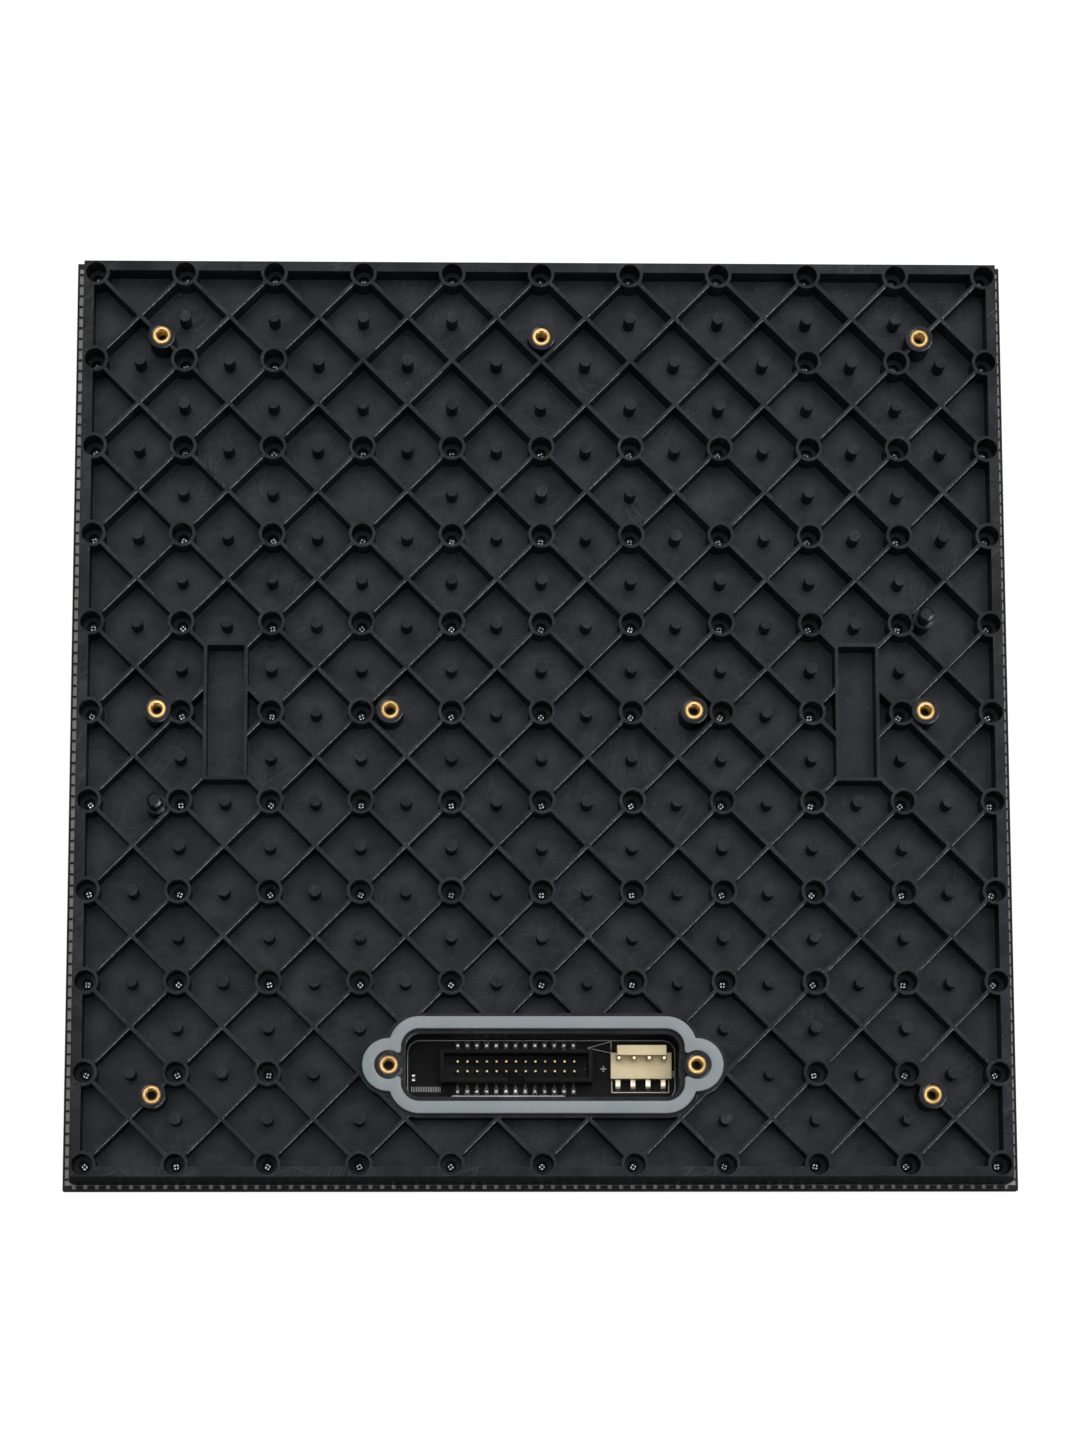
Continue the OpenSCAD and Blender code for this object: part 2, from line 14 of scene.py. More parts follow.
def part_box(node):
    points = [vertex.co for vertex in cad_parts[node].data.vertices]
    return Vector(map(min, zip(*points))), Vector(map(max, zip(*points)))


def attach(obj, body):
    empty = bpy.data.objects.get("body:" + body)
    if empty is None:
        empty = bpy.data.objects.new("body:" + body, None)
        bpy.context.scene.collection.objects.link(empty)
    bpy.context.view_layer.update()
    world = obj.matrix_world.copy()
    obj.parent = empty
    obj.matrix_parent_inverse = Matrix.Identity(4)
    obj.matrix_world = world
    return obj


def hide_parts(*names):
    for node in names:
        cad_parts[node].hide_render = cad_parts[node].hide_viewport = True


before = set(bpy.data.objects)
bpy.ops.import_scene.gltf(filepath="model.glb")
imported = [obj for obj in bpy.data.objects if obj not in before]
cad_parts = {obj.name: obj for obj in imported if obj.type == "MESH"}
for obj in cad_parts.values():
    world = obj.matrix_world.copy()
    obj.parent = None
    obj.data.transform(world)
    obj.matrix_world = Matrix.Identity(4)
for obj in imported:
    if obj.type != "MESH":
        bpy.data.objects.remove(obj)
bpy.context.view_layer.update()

MM = 0.001
TOUCH = 1e-6
ALIGNED = 0.9
LOG = logging.getLogger("led_module")
Solid = bpy.types.Object
Face = bpy.types.MeshPolygon
Socket = bpy.types.NodeSocket
Colour = tuple[float, float, float, float]
Ramp = tuple[float, float, float, float]
Triple = tuple[float, float, float]
Pair = tuple[float, float]


def tone(red: float, green: float, blue: float) -> Colour:
    """Gives an opaque linear colour."""
    return (red, green, blue, 1.0)


def grey(level: float) -> Colour:
    """Gives an opaque linear grey."""
    return tone(level, level, level)


def up(height: float) -> Vector:
    """Gives a way along the Z axis."""
    return Vector((0, 0, height))


def back(depth: float) -> Vector:
    """Gives a way along the Y axis."""
    return Vector((0, depth, 0))


def row(count: int, pitch: float) -> list[float]:
    """Gives the places of a row that is centred on zero."""
    return [(k - (count - 1) / 2) * pitch for k in range(count)]


class Axis(Enum):
    """Directions that faces are picked by."""

    UP = (0.0, 0.0, 1.0)
    DOWN = (0.0, 0.0, -1.0)

    def vector(self) -> Vector:
        """Gives the direction as a vector."""
        return Vector(self.value)


@dataclass(frozen=True)
class ModulePlan:
    """Places on the module that several pieces share, in metres.

    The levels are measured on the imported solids. The counts are those of the lamp grid.
    """

    half: float
    board_back: float
    seat: float
    rim: float
    insert_top: float
    head_t: float = 0.9 * MM
    led_count: int = 84
    boss_step: int = 8
    boss_half: int = 5
    bare_row: int = 4
    bare_half: int = 2

    @classmethod
    def measured(cls) -> "ModulePlan":
        """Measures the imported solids."""
        return cls(
            half=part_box("front_mask")[1].x,
            board_back=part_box("circuit_board")[1].z,
            seat=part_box("assembly_screws")[1].z - cls.head_t,
            rim=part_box("connector_gasket")[0].z,
            insert_top=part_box("threaded_inserts")[1].z,
        )

    @property
    def led_pitch(self) -> float:
        """Distance between lamps."""
        return 2 * self.half / self.led_count

    @property
    def boss_pitch(self) -> float:
        """Distance between screw bosses."""
        return self.boss_step * self.led_pitch

    @staticmethod
    def bay_y() -> float:
        """Place of the connector bay's middle line."""
        low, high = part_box("connector_gasket")
        return (low.y + high.y) / 2

    def screw_places(self) -> list[Vector]:
        """Gives the seat of each assembly screw's head.

        Returns:
            The places.
        """
        span = range(-self.boss_half, self.boss_half + 1)
        return [
            Vector((i * self.boss_pitch, j * self.boss_pitch, self.seat))
            for i in span
            for j in span
            if abs(j) != self.bare_row or abs(i) > self.bare_half
        ]


class Bench:
    """Moves in edit and object mode that every new piece is made with."""

    @staticmethod
    def rest() -> None:
        """Leaves edit mode with nothing selected."""
        active = bpy.context.view_layer.objects.active
        if active is not None and active.mode != "OBJECT":
            bpy.ops.object.mode_set(mode="OBJECT")
        bpy.ops.object.select_all(action="DESELECT")

    @staticmethod
    def hold(piece: Solid) -> None:
        """Selects one piece and makes it active, in object mode.

        Args:
            piece: piece to hold.
        """
        Bench.rest()
        piece.select_set(True)
        bpy.context.view_layer.objects.active = piece

    @staticmethod
    def named(name: str) -> Solid:
        """Gives the active object, with the name on it and on its mesh.

        Args:
            name: name of the piece.

        Returns:
            The active object.
        """
        piece = bpy.context.view_layer.objects.active
        piece.name = piece.data.name = name
        return piece

    @staticmethod
    def settle(name: str) -> Solid:
        """Names the active object and moves its place, turn and scale into its mesh.

        Args:
            name: name of the finished piece.

        Returns:
            The active object.
        """
        piece = Bench.named(name)
        Bench.hold(piece)
        bpy.ops.object.transform_apply(location=True, rotation=True, scale=True)
        return piece

    @staticmethod
    def block(name: str, low: Vector, high: Vector) -> Solid:
        """Adds a cube that fills the box between two corners.

        Args:
            name: name of the piece.
            low: lowest corner.
            high: highest corner.

        Returns:
            The new piece.
        """
        Bench.rest()
        bpy.ops.mesh.primitive_cube_add(size=1.0, location=(low + high) / 2, scale=high - low)
        return Bench.settle(name)

    @staticmethod
    def pick(piece: Solid, wanted: Callable[[Face], bool]) -> None:
        """Enters edit mode with the wanted faces selected.

        Args:
            piece: piece to edit.
            wanted: test that a face passes.
        """
        Bench.hold(piece)
        bpy.ops.object.mode_set(mode="EDIT")
        bpy.ops.mesh.select_mode(type="FACE")
        bpy.ops.mesh.select_all(action="DESELECT")
        bpy.ops.object.mode_set(mode="OBJECT")
        for face in piece.data.polygons:
            face.select = wanted(face)
        bpy.ops.object.mode_set(mode="EDIT")

    @staticmethod
    def pick_side(piece: Solid, axis: Axis) -> None:
        """Enters edit mode with the outermost flat face on one side selected.

        Args:
            piece: piece to edit.
            axis: direction that the face looks in.
        """
        way = axis.vector()
        reach = max(vertex.co.dot(way) for vertex in piece.data.vertices) - TOUCH
        Bench.pick(piece, lambda face: face.normal.dot(way) > ALIGNED and face.center.dot(way) > reach)

    @staticmethod
    def push(offset: Vector, scale: Triple = (1.0, 1.0, 1.0), centre: Vector | None = None) -> None:
        """Extrudes what is selected, and scales the new end about a point.

        Args:
            offset: way that the new end moves.
            scale: scale of the new end along each axis.
            centre: point that stays where it is when the end is scaled.
        """
        bpy.ops.mesh.extrude_region_move(TRANSFORM_OT_translate={"value": tuple(offset)})
        if centre is not None:
            bpy.ops.transform.resize(value=scale, center_override=tuple(centre))

    @staticmethod
    def split(place: Vector, way: Vector) -> None:
        """Cuts new edges round the piece in edit mode, where a plane meets it."""
        bpy.ops.mesh.select_all(action="SELECT")
        bpy.ops.mesh.bisect(plane_co=place, plane_no=way)

    @staticmethod
    def lathe(name: str, outline: list[Pair], sides: int) -> Solid:
        """Raises a ring of edges through a closed outline round the Z axis.

        Args:
            name: name of the piece.
            outline: radius and level of each ring, the last one at the place of the first.
            sides: number of edges of a ring.

        Returns:
            The new piece.
        """
        radius, level = outline[0]
        Bench.rest()
        bpy.ops.mesh.primitive_circle_add(vertices=sides, radius=radius, location=up(level))
        piece = Bench.settle(name)
        bpy.ops.object.mode_set(mode="EDIT")
        bpy.ops.mesh.select_mode(type="EDGE")
        bpy.ops.mesh.select_all(action="SELECT")
        for new_radius, new_level in outline[1:]:
            share = new_radius / radius
            Bench.push(up(new_level - level), (share, share, 1.0), up(new_level))
            radius, level = new_radius, new_level
        Bench.close_up()
        return piece

    @staticmethod
    def close_up() -> None:
        """Merges doubled points of the piece in edit mode, turns its faces outward and leaves edit mode."""
        bpy.ops.mesh.select_all(action="SELECT")
        bpy.ops.mesh.remove_doubles(threshold=TOUCH)
        bpy.ops.mesh.normals_make_consistent(inside=False)
        bpy.ops.object.mode_set(mode="OBJECT")

    @staticmethod
    def change(piece: Solid, kind: str, **settings: object) -> None:
        """Changes a piece by a modifier, which is applied at once.

        Args:
            piece: piece to change.
            kind: type of the modifier.
            settings: attributes of the modifier.
        """
        Bench.hold(piece)
        modifier = piece.modifiers.new(kind.lower(), kind)
        for key, value in settings.items():
            setattr(modifier, key, value)
        bpy.ops.object.modifier_apply(modifier=modifier.name)

    @staticmethod
    def carve(piece: Solid, tool: Solid) -> None:
        """Cuts a tool out of a piece and throws the tool away."""
        Bench.change(piece, "BOOLEAN", operation="DIFFERENCE", solver="EXACT", object=tool)
        bpy.data.objects.remove(tool)

    @staticmethod
    def soften(piece: Solid, width: float, sharp: float = 50.0, smooth: float = 35.0) -> None:
        """Rounds the sharp edges of a piece in two steps and shades it smoothly.

        Args:
            piece: piece to round.
            width: width of the rounding.
            sharp: smallest angle in degrees between two faces that counts as sharp.
            smooth: angle in degrees up to which the shading runs on.
        """
        sharp = math.radians(sharp)
        Bench.change(
            piece, "BEVEL",
            width=width, segments=2, limit_method="ANGLE", angle_limit=sharp, miter_outer="MITER_ARC",
        )
        Bench.smooth(piece, smooth)

    @staticmethod
    def smooth(piece: Solid, angle: float) -> None:
        """Shades a piece smoothly where its faces meet at less than an angle in degrees."""
        Bench.hold(piece)
        bpy.ops.object.shade_smooth_by_angle(angle=math.radians(angle))

    @staticmethod
    def set_out(master: Solid, places: list[tuple[Vector, float]]) -> Solid:
        """Copies a finished piece to each place and joins the copies into one object.

        Args:
            master: piece that is modelled once, at the origin.
            places: place of each copy and its turn round the Z axis in radians.

        Returns:
            The joined copies, under the master's name.
        """
        name = master.name
        Bench.rest()
        copies = []
        for place, turn in places:
            copy = master.copy()
            copy.data = master.data.copy()
            copy.data.transform(Matrix.Translation(place) @ Matrix.Rotation(turn, 4, "Z"))
            bpy.context.collection.objects.link(copy)
            copies.append(copy)
        bpy.data.objects.remove(master)
        return Bench.gather(name, copies)

    @staticmethod
    def gather(name: str, pieces: list[Solid]) -> Solid:
        """Joins pieces into one object.

        Args:
            name: name of the joined piece.
            pieces: pieces to join.

        Returns:
            The joined piece.
        """
        Bench.rest()
        for piece in pieces:
            piece.select_set(True)
        bpy.context.view_layer.objects.active = pieces[0]
        bpy.ops.object.join()
        return Bench.named(name)

    @staticmethod
    def traced(name: str, node: str, flat: float = 0.5) -> Solid:
        """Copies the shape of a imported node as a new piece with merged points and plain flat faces.

        Args:
            name: name of the new piece.
            node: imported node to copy.
            flat: angle in degrees up to which neighbouring faces become one.

        Returns:
            The new piece.
        """
        Bench.hold(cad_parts[node])
        bpy.ops.object.duplicate()
        piece = Bench.named(name)
        piece.parent = None
        for key in list(piece.keys()):
            del piece[key]
        bpy.ops.object.mode_set(mode="EDIT")
        bpy.ops.mesh.select_all(action="SELECT")
        bpy.ops.mesh.customdata_custom_splitnormals_clear()
        bpy.ops.mesh.remove_doubles(threshold=TOUCH)
        bpy.ops.mesh.dissolve_limited(angle_limit=math.radians(flat))
        bpy.ops.object.mode_set(mode="OBJECT")
        return piece


class Graph:
    """Adds and joins the nodes of one node tree."""

    def __init__(self, tree: bpy.types.NodeTree) -> None:
        """Takes the tree to work in."""
        self.tree = tree

    def add(self, kind: str, settings: dict | None = None, **inputs: object) -> bpy.types.Node:
        """Adds a node and fills its inputs.

        Args:
            kind: type of the node.
            settings: attributes of the node.
            inputs: value or source of each input, named as in wire.

        Returns:
            The new node.
        """
        node = self.tree.nodes.new(kind)
        for key, value in (settings or {}).items():
            setattr(node, key, value)
        self.wire(node, **inputs)
        return node

    def wire(self, node: bpy.types.Node, **inputs: object) -> None:
        """Fills inputs of a node.

        Args:
            node: node to fill.
            inputs: value or source of each input. An underscore stands for a space, and at0 for the first.
        """
        for key, value in inputs.items():
            numbered = key[:2] == "at" and key[2:].isdigit()
            self.fill(node.inputs[int(key[2:]) if numbered else key.replace("_", " ")], value)

    def fill(self, socket: Socket, value: object) -> None:
        """Joins a source to an input, or sets the input's own value.

        Args:
            socket: input to fill.
            value: source or value.
        """
        if isinstance(value, Socket):
            self.tree.links.new(value, socket)
        else:
            socket.default_value = value

    def math(self, operation: str, first: object, second: object = 0.0) -> Socket:
        """Adds a calculation and gives its result."""
        return self.add("ShaderNodeMath", {"operation": operation}, at0=first, at1=second).outputs[0]

    def times(self, first: object, *others: object) -> object:
        """Multiplies values one after the other and gives the product.

        Args:
            first: value to start with.
            others: values that it is multiplied by.

        Returns:
            The product.
        """
        for other in others:
            first = self.math("MULTIPLY", first, other)
        return first

    def plus(self, first: object, second: object) -> Socket:
        """Adds two values and gives the sum."""
        return self.math("ADD", first, second)

    def vector(self, operation: str, first: object, second: object = (0.0, 0.0, 0.0)) -> Socket:
        """Adds a calculation on vectors and gives its result."""
        node = self.add("ShaderNodeVectorMath", {"operation": operation}, at0=first, at1=second)
        return node.outputs["Value" if operation == "DOT_PRODUCT" else "Vector"]

    def axes(self, vector: object) -> dict:
        """Gives the three parts of a vector."""
        return self.add("ShaderNodeSeparateXYZ", Vector=vector).outputs

    def blend(self, share: object, first: object, second: object) -> Socket:
        """Mixes two colours and gives the mixed colour."""
        return self.add("ShaderNodeMix", {"data_type": "RGBA"}, at0=share, at6=first, at7=second).outputs[2]

    def span(
        self, value: object, low: float, high: float, to_low: object = 0.0, to_high: object = 1.0
    ) -> Socket:
        """Maps a range of values to another range, held at its ends.

        Args:
            value: value to map.
            low: value that gives to_low.
            high: value that gives to_high.
            to_low: result at the low end.
            to_high: result at the high end.

        Returns:
            The mapped value.
        """
        node = self.add("ShaderNodeMapRange", {"clamp": True}, Value=value, From_Min=low, From_Max=high)
        self.wire(node, To_Min=to_low, To_Max=to_high)
        return node.outputs["Result"]

    def noise(self, vector: object, scale: object, detail: float = 2.0, roughness: float = 0.5) -> Socket:
        """Adds a cloud pattern and gives its value."""
        node = self.add("ShaderNodeTexNoise", Vector=vector, Scale=scale, Detail=detail, Roughness=roughness)
        return node.outputs[0]

    def place(self) -> Socket:
        """Gives the place on the piece in metres."""
        return self.add("ShaderNodeTexCoord").outputs["Object"]

    def flat_normal(self) -> Socket:
        """Gives the normal of the face."""
        return self.add("ShaderNodeNewGeometry").outputs["True Normal"]


class Effect(Enum):
    """Shared effects, by the name of their node group."""

    MOULDED = "moulded_surface"
    SCUFFED = "scuff_lines"
    DUSTY = "dust_specks"
    EDGED = "edge_rounding"
    TURNED = "turned_metal"


@dataclass(frozen=True)
class Recipe:
    """How an effect is made: its maker, what it takes and what it gives."""

    maker: Callable[[Graph, dict, dict], None]
    inputs: dict[str, float]
    outputs: tuple[str, ...]


class EffectShelf:
    """Builds each shared effect once and hands out its node group."""

    MOTTLE: Pair = (0.34, 0.68)
    SWAYS: tuple[Pair, ...] = ((0.35, 0.03), (1.25, -0.04), (2.3, 0.05))
    SWAY_SCALE: float = 30.0
    STREAK_SHAPE: Triple = (20.0, 1.0, 2.5)
    STREAK_SCALE: float = 30.0
    STREAK: Pair = (0.55, 0.72)
    PATCH: Pair = (0.42, 0.62)
    SPECK: Ramp = (0.04, 0.1, 1.0, 0.0)
    BEVEL_SAMPLES: int = 6
    EDGE: Pair = (0.998, 0.88)
    LEAN_WAY: Triple = (0.5, -0.5, 0.707)
    LEAN: Pair = (0.755, 0.86)
    FRONT_RIGHT: Triple = (0.707, -0.707, 0.0)
    FACING: Pair = (0.8, 0.95)
    TOOL_SHAPE: Triple = (0.3, 0.3, 4.0)
    TARNISH_SCALE: float = 320.0
    TARNISH: Pair = (0.4, 0.75)

    def __init__(self) -> None:
        """Writes down how each effect is made."""
        self.recipes: dict[Effect, Recipe] = {
            Effect.MOULDED: Recipe(
                self.moulded, {"Mottle scale": 40.0, "Grain scale": 1500.0}, ("Mottle", "Grain")
            ),
            Effect.SCUFFED: Recipe(self.scuffed, {"Scale": 60.0, "Amount": 0.5}, ("Lines",)),
            Effect.DUSTY: Recipe(self.dusty, {"Scale": 700.0, "Share": 0.05}, ("Specks",)),
            Effect.EDGED: Recipe(self.edged, {"Radius": 0.2 * MM}, ("Edge", "Lean", "Normal")),
            Effect.TURNED: Recipe(self.turned, {"Scale": 900.0}, ("Tarnish", "Brushing")),
        }

    def group(self, effect: Effect) -> bpy.types.NodeTree:
        """Gives an effect's node group, which is built at the first call.

        Args:
            effect: effect that is wanted.

        Returns:
            The node group.
        """
        known = bpy.data.node_groups.get(effect.value)
        if known is not None:
            return known
        recipe = self.recipes[effect]
        tree = bpy.data.node_groups.new(effect.value, "ShaderNodeTree")
        for name, value in recipe.inputs.items():
            socket = tree.interface.new_socket(name, in_out="INPUT", socket_type="NodeSocketFloat")
            socket.default_value = value
        for name in recipe.outputs:
            kind = "NodeSocketVector" if name == "Normal" else "NodeSocketFloat"
            tree.interface.new_socket(name, in_out="OUTPUT", socket_type=kind)
        graph = Graph(tree)
        recipe.maker(graph, graph.add("NodeGroupInput").outputs, graph.add("NodeGroupOutput").inputs)
        return tree

    def moulded(self, graph: Graph, given: dict, result: dict) -> None:
        """Flow marks of a moulding and its fine matt grain.

        Args:
            graph: graph of the effect.
            given: what the effect takes.
            result: what the effect gives.
        """
        place = graph.place()
        broad = graph.noise(place, given["Mottle scale"], detail=5.0, roughness=0.62)
        graph.fill(result["Mottle"], graph.span(broad, *self.MOTTLE))
        graph.fill(result["Grain"], graph.noise(place, given["Grain scale"], detail=3.0, roughness=0.6))

    def scuffed(self, graph: Graph, given: dict, result: dict) -> None:
        """Thin curved rubbed lines in three directions, gathered in patches.

        Args:
            graph: graph of the effect.
            given: what the effect takes.
            result: what the effect gives.
        """
        place = graph.place()
        lines: object = 0.0
        for turn, amount in self.SWAYS:
            bent = graph.times(graph.noise(place, self.SWAY_SCALE, detail=1.0), amount)
            curve = graph.add("ShaderNodeCombineXYZ", X=bent, Y=bent).outputs[0]
            mapped = graph.add(
                "ShaderNodeMapping", {"vector_type": "TEXTURE"},
                Vector=graph.vector("ADD", place, curve), Rotation=(0, 0, turn), Scale=self.STREAK_SHAPE,
            )
            streak = graph.noise(mapped.outputs[0], graph.times(given["Scale"], self.STREAK_SCALE))
            lines = graph.math("MAXIMUM", lines, graph.span(streak, *self.STREAK))
        patch = graph.span(graph.noise(place, given["Scale"], detail=3.0), *self.PATCH)
        graph.fill(result["Lines"], graph.times(lines, patch, given["Amount"]))

    def dusty(self, graph: Graph, given: dict, result: dict) -> None:
        """Loose light specks, each in its own cell.

        Args:
            graph: graph of the effect.
            given: what the effect takes.
            result: what the effect gives.
        """
        cells = graph.add("ShaderNodeTexVoronoi", Vector=graph.place(), Scale=given["Scale"]).outputs
        near = graph.span(cells["Distance"], *self.SPECK)
        lot = graph.add("ShaderNodeSeparateColor", Color=cells["Color"]).outputs[0]
        graph.fill(result["Specks"], graph.times(near, graph.math("LESS_THAN", lot, given["Share"])))

    def edged(self, graph: Graph, given: dict, result: dict) -> None:
        """Rounds the shading of sharp edges and marks them, and marks those that lean to the front right for
        a painted highlight.

        Args:
            graph: graph of the effect.
            given: what the effect takes.
            result: what the effect gives.
        """
        bevel = graph.add("ShaderNodeBevel", {"samples": self.BEVEL_SAMPLES}, Radius=given["Radius"])
        rounded = bevel.outputs[0]
        bend = graph.vector("DOT_PRODUCT", rounded, graph.flat_normal())
        graph.fill(result["Edge"], graph.span(bend, *self.EDGE))
        lean = graph.span(graph.vector("DOT_PRODUCT", rounded, self.LEAN_WAY), *self.LEAN)
        level = graph.vector("NORMALIZE", graph.vector("MULTIPLY", rounded, (1.0, 1.0, 0.0)))
        facing = graph.span(graph.vector("DOT_PRODUCT", level, self.FRONT_RIGHT), *self.FACING)
        graph.fill(result["Lean"], graph.times(lean, facing))
        graph.fill(result["Normal"], rounded)

    def turned(self, graph: Graph, given: dict, result: dict) -> None:
        """Fine tool marks on metal and a faint cloudy tarnish.

        Args:
            graph: graph of the effect.
            given: what the effect takes.
            result: what the effect gives.
        """
        place = graph.place()
        mapped = graph.add("ShaderNodeMapping", Vector=place, Scale=self.TOOL_SHAPE)
        graph.fill(result["Brushing"], graph.noise(mapped.outputs[0], given["Scale"], detail=3.0))
        cloud = graph.noise(place, self.TARNISH_SCALE, detail=3.0)
        graph.fill(result["Tarnish"], graph.span(cloud, *self.TARNISH))


SHELF = EffectShelf()


class Finish:
    """What all finishes share: a new material with its shader, and effects placed in it."""

    def sheet(self, name: str) -> tuple[bpy.types.Material, Graph, bpy.types.Node]:
        """Makes an empty material.

        Args:
            name: name of the material.

        Returns:
            The material, its graph and its main shader.
        """
        material = bpy.data.materials.new(name)
        material.use_nodes = True
        return material, Graph(material.node_tree), material.node_tree.nodes["Principled BSDF"]

    def effect(self, graph: Graph, effect: Effect, **inputs: object) -> dict:
        """Places a shared effect in a material and gives its outputs."""
        return graph.add("ShaderNodeGroup", {"node_tree": SHELF.group(effect)}, **inputs).outputs

    def relief(self, graph: Graph, height: object, depth: float, **normal: object) -> Socket:
        """Gives the normal of a relief.

        Args:
            graph: graph of the material.
            height: value of the relief.
            depth: depth of the relief in metres.
            normal: normal that the relief is laid on, if that isn't the face's own.

        Returns:
            The normal.
        """
        return graph.add("ShaderNodeBump", Height=height, Distance=depth, Strength=1.0, **normal).outputs[0]


@dataclass(frozen=True)
class MouldedFinish(Finish):
    """Moulded plastic or resin with flow marks, grain, rubbed lines, dust, and pale edges that are partly
    wear and partly a painted highlight.
    """

    name: str
    base: Colour
    pale: Colour
    worn: Colour
    roughness: float = 0.5
    mottle_scale: float = 40.0
    grain_scale: float = 1500.0
    grain_depth: float = 0.02 * MM
    grain_range: Pair = (0.25, 0.75)
    grain_swing: float = 0.06
    scuffs: float = 0.5
    dust: float = 0.04
    speck_tone: Colour = grey(0.3)
    speck_matt: float = 0.3
    edge_radius: float = 0.2 * MM
    # pale edge tone: partly wear, partly a painted highlight along the edges
    edge_wear_and_highlight: float = 0.5
    edge_wear_and_highlight_breakup: Ramp = (0.35, 0.6, 0.45, 1.0)
    edge_wear_and_highlight_tone: Colour = tone(0.1, 0.1, 0.105)
    edge_gloss: float = 0.3
    edge_coat: float = 0.12
    shine: float = 0.28
    specular: float = 0.5
    sheen: Colour = grey(1.0)
    glaze: float = 0.0
    glaze_roughness: float = 0.36

    def film(self, graph: Graph, skin: dict, colour: object) -> object:
        """Gives the colour with what lies on it, which is nothing here."""
        return colour

    def paint_rib_highlight(self, graph: Graph, skin: dict, lean: object, colour: object) -> object:
        """Gives the colour with a painted highlight on its rib edges, of which there is none here."""
        return colour

    def make(self) -> bpy.types.Material:
        """Makes the material.

        Returns:
            The material.
        """
        material, graph, shader = self.sheet(self.name)
        skin = self.effect(
            graph, Effect.MOULDED, Mottle_scale=self.mottle_scale, Grain_scale=self.grain_scale
        )
        lines = self.effect(graph, Effect.SCUFFED, Amount=self.scuffs)["Lines"]
        specks = self.effect(graph, Effect.DUSTY, Share=self.dust)["Specks"]
        edge = self.effect(graph, Effect.EDGED, Radius=self.edge_radius)
        colour = self.film(graph, skin, graph.blend(skin["Mottle"], self.base, self.pale))
        colour = graph.blend(lines, colour, self.worn)
        # pale edges: partly wear, partly a painted highlight along the edges
        rubbed = graph.times(edge["Edge"], graph.span(skin["Grain"], *self.edge_wear_and_highlight_breakup), self.edge_wear_and_highlight)
        colour = graph.blend(rubbed, colour, self.edge_wear_and_highlight_tone)
        # painted highlight along the rib edges that lean to the front right
        colour = self.paint_rib_highlight(graph, skin, edge["Lean"], colour)
        matt, keen = self.roughness + self.grain_swing, self.roughness - self.grain_swing
        rough = graph.span(skin["Grain"], *self.grain_range, keen, matt)
        polish = graph.times(edge["Edge"], self.edge_gloss)
        rough = graph.span(polish, 0.0, 1.0, rough, self.shine)
        coat = graph.span(skin["Mottle"], 0.0, 1.0, 0.0, self.glaze)
        graph.wire(
            shader,
            Base_Color=graph.blend(specks, colour, self.speck_tone),
            Roughness=graph.plus(rough, graph.times(specks, self.speck_matt)),
            Coat_Weight=graph.plus(coat, graph.times(polish, self.edge_coat)),
            Coat_Roughness=self.glaze_roughness,
            Specular_IOR_Level=self.specular,
            Specular_Tint=self.sheen,
            Normal=self.relief(graph, skin["Grain"], self.grain_depth, Normal=edge["Normal"]),
        )
        return material


@dataclass(frozen=True)
class DeckFinish(MouldedFinish):
    """Moulded plastic with fine dust and a painted fill light on its deck, and a painted highlight along one
    edge of its ribs.
    """

    # dust on the deck, which is also a painted fill light that lifts the shaded deck
    dust_and_fill_tone: Colour = tone(0.02, 0.021, 0.0236)
    dust_and_fill_level: float = 9.8 * MM
    dust_and_fill_reach: float = 0.3 * MM
    dust_and_fill_lie: Pair = (0.8, 0.95)
    dust_and_fill_patch: Ramp = (0.0, 1.0, 0.3, 1.0)
    dust_and_fill_grain: Ramp = (0.35, 0.65, 0.45, 1.0)
    # pale tone of the painted highlight along the rib edges
    rib_highlight_tone: Colour = tone(0.34, 0.345, 0.355)
    rib_level: float = 18.6 * MM
    rib_reach: float = 0.15 * MM
    rib_highlight_breakup: Ramp = (0.4, 0.6, 0.25, 1.0)
    boss_pitch: float = 250.0 / 84 * 8 * MM
    boss_reach: float = 4.4 * MM

    def film(self, graph: Graph, skin: dict, colour: object) -> object:
        """Gives the colour with dust and a painted fill light over the deck.

        Args:
            graph: graph of the material.
            skin: flow marks and grain of the moulding.
            colour: colour under the dust and painted fill light.

        Returns:
            The colour socket.
        """
        near = graph.math("COMPARE", graph.axes(graph.place())[2], self.dust_and_fill_level)
        near.node.inputs[2].default_value = self.dust_and_fill_reach
        lying = graph.span(graph.axes(graph.flat_normal())[2], *self.dust_and_fill_lie)
        patchy = graph.span(skin["Mottle"], *self.dust_and_fill_patch)
        speckled = graph.span(skin["Grain"], *self.dust_and_fill_grain)
        # dust and painted fill light on the up-facing deck at deck level
        return graph.blend(graph.times(near, lying, graph.times(patchy, speckled)), colour, self.dust_and_fill_tone)

    def paint_rib_highlight(self, graph: Graph, skin: dict, lean: object, colour: object) -> object:
        """Gives the colour with a painted highlight along the rib edge that leans to the front right.

        Args:
            graph: graph of the material.
            skin: flow marks and grain of the moulding.
            lean: mask of the edges that lean that way.
            colour: colour of the plastic.

        Returns:
            The colour socket.
        """
        axes = graph.axes(graph.place())
        x, y = (graph.math("PINGPONG", graph.math("ABSOLUTE", axes[k]), self.boss_pitch / 2) for k in (0, 1))
        square = graph.plus(graph.times(x, x), graph.times(y, y))
        clear = graph.math("GREATER_THAN", square, self.boss_reach**2)
        high = graph.math("GREATER_THAN", axes[2], self.rib_level - self.rib_reach)
        highlight_breakup = graph.span(skin["Grain"], *self.rib_highlight_breakup)
        # painted highlight: pale tone on the high rib edges that lean to the front right, away from the
        # bosses
        return graph.blend(graph.times(lean, clear, high, highlight_breakup), colour, self.rib_highlight_tone)


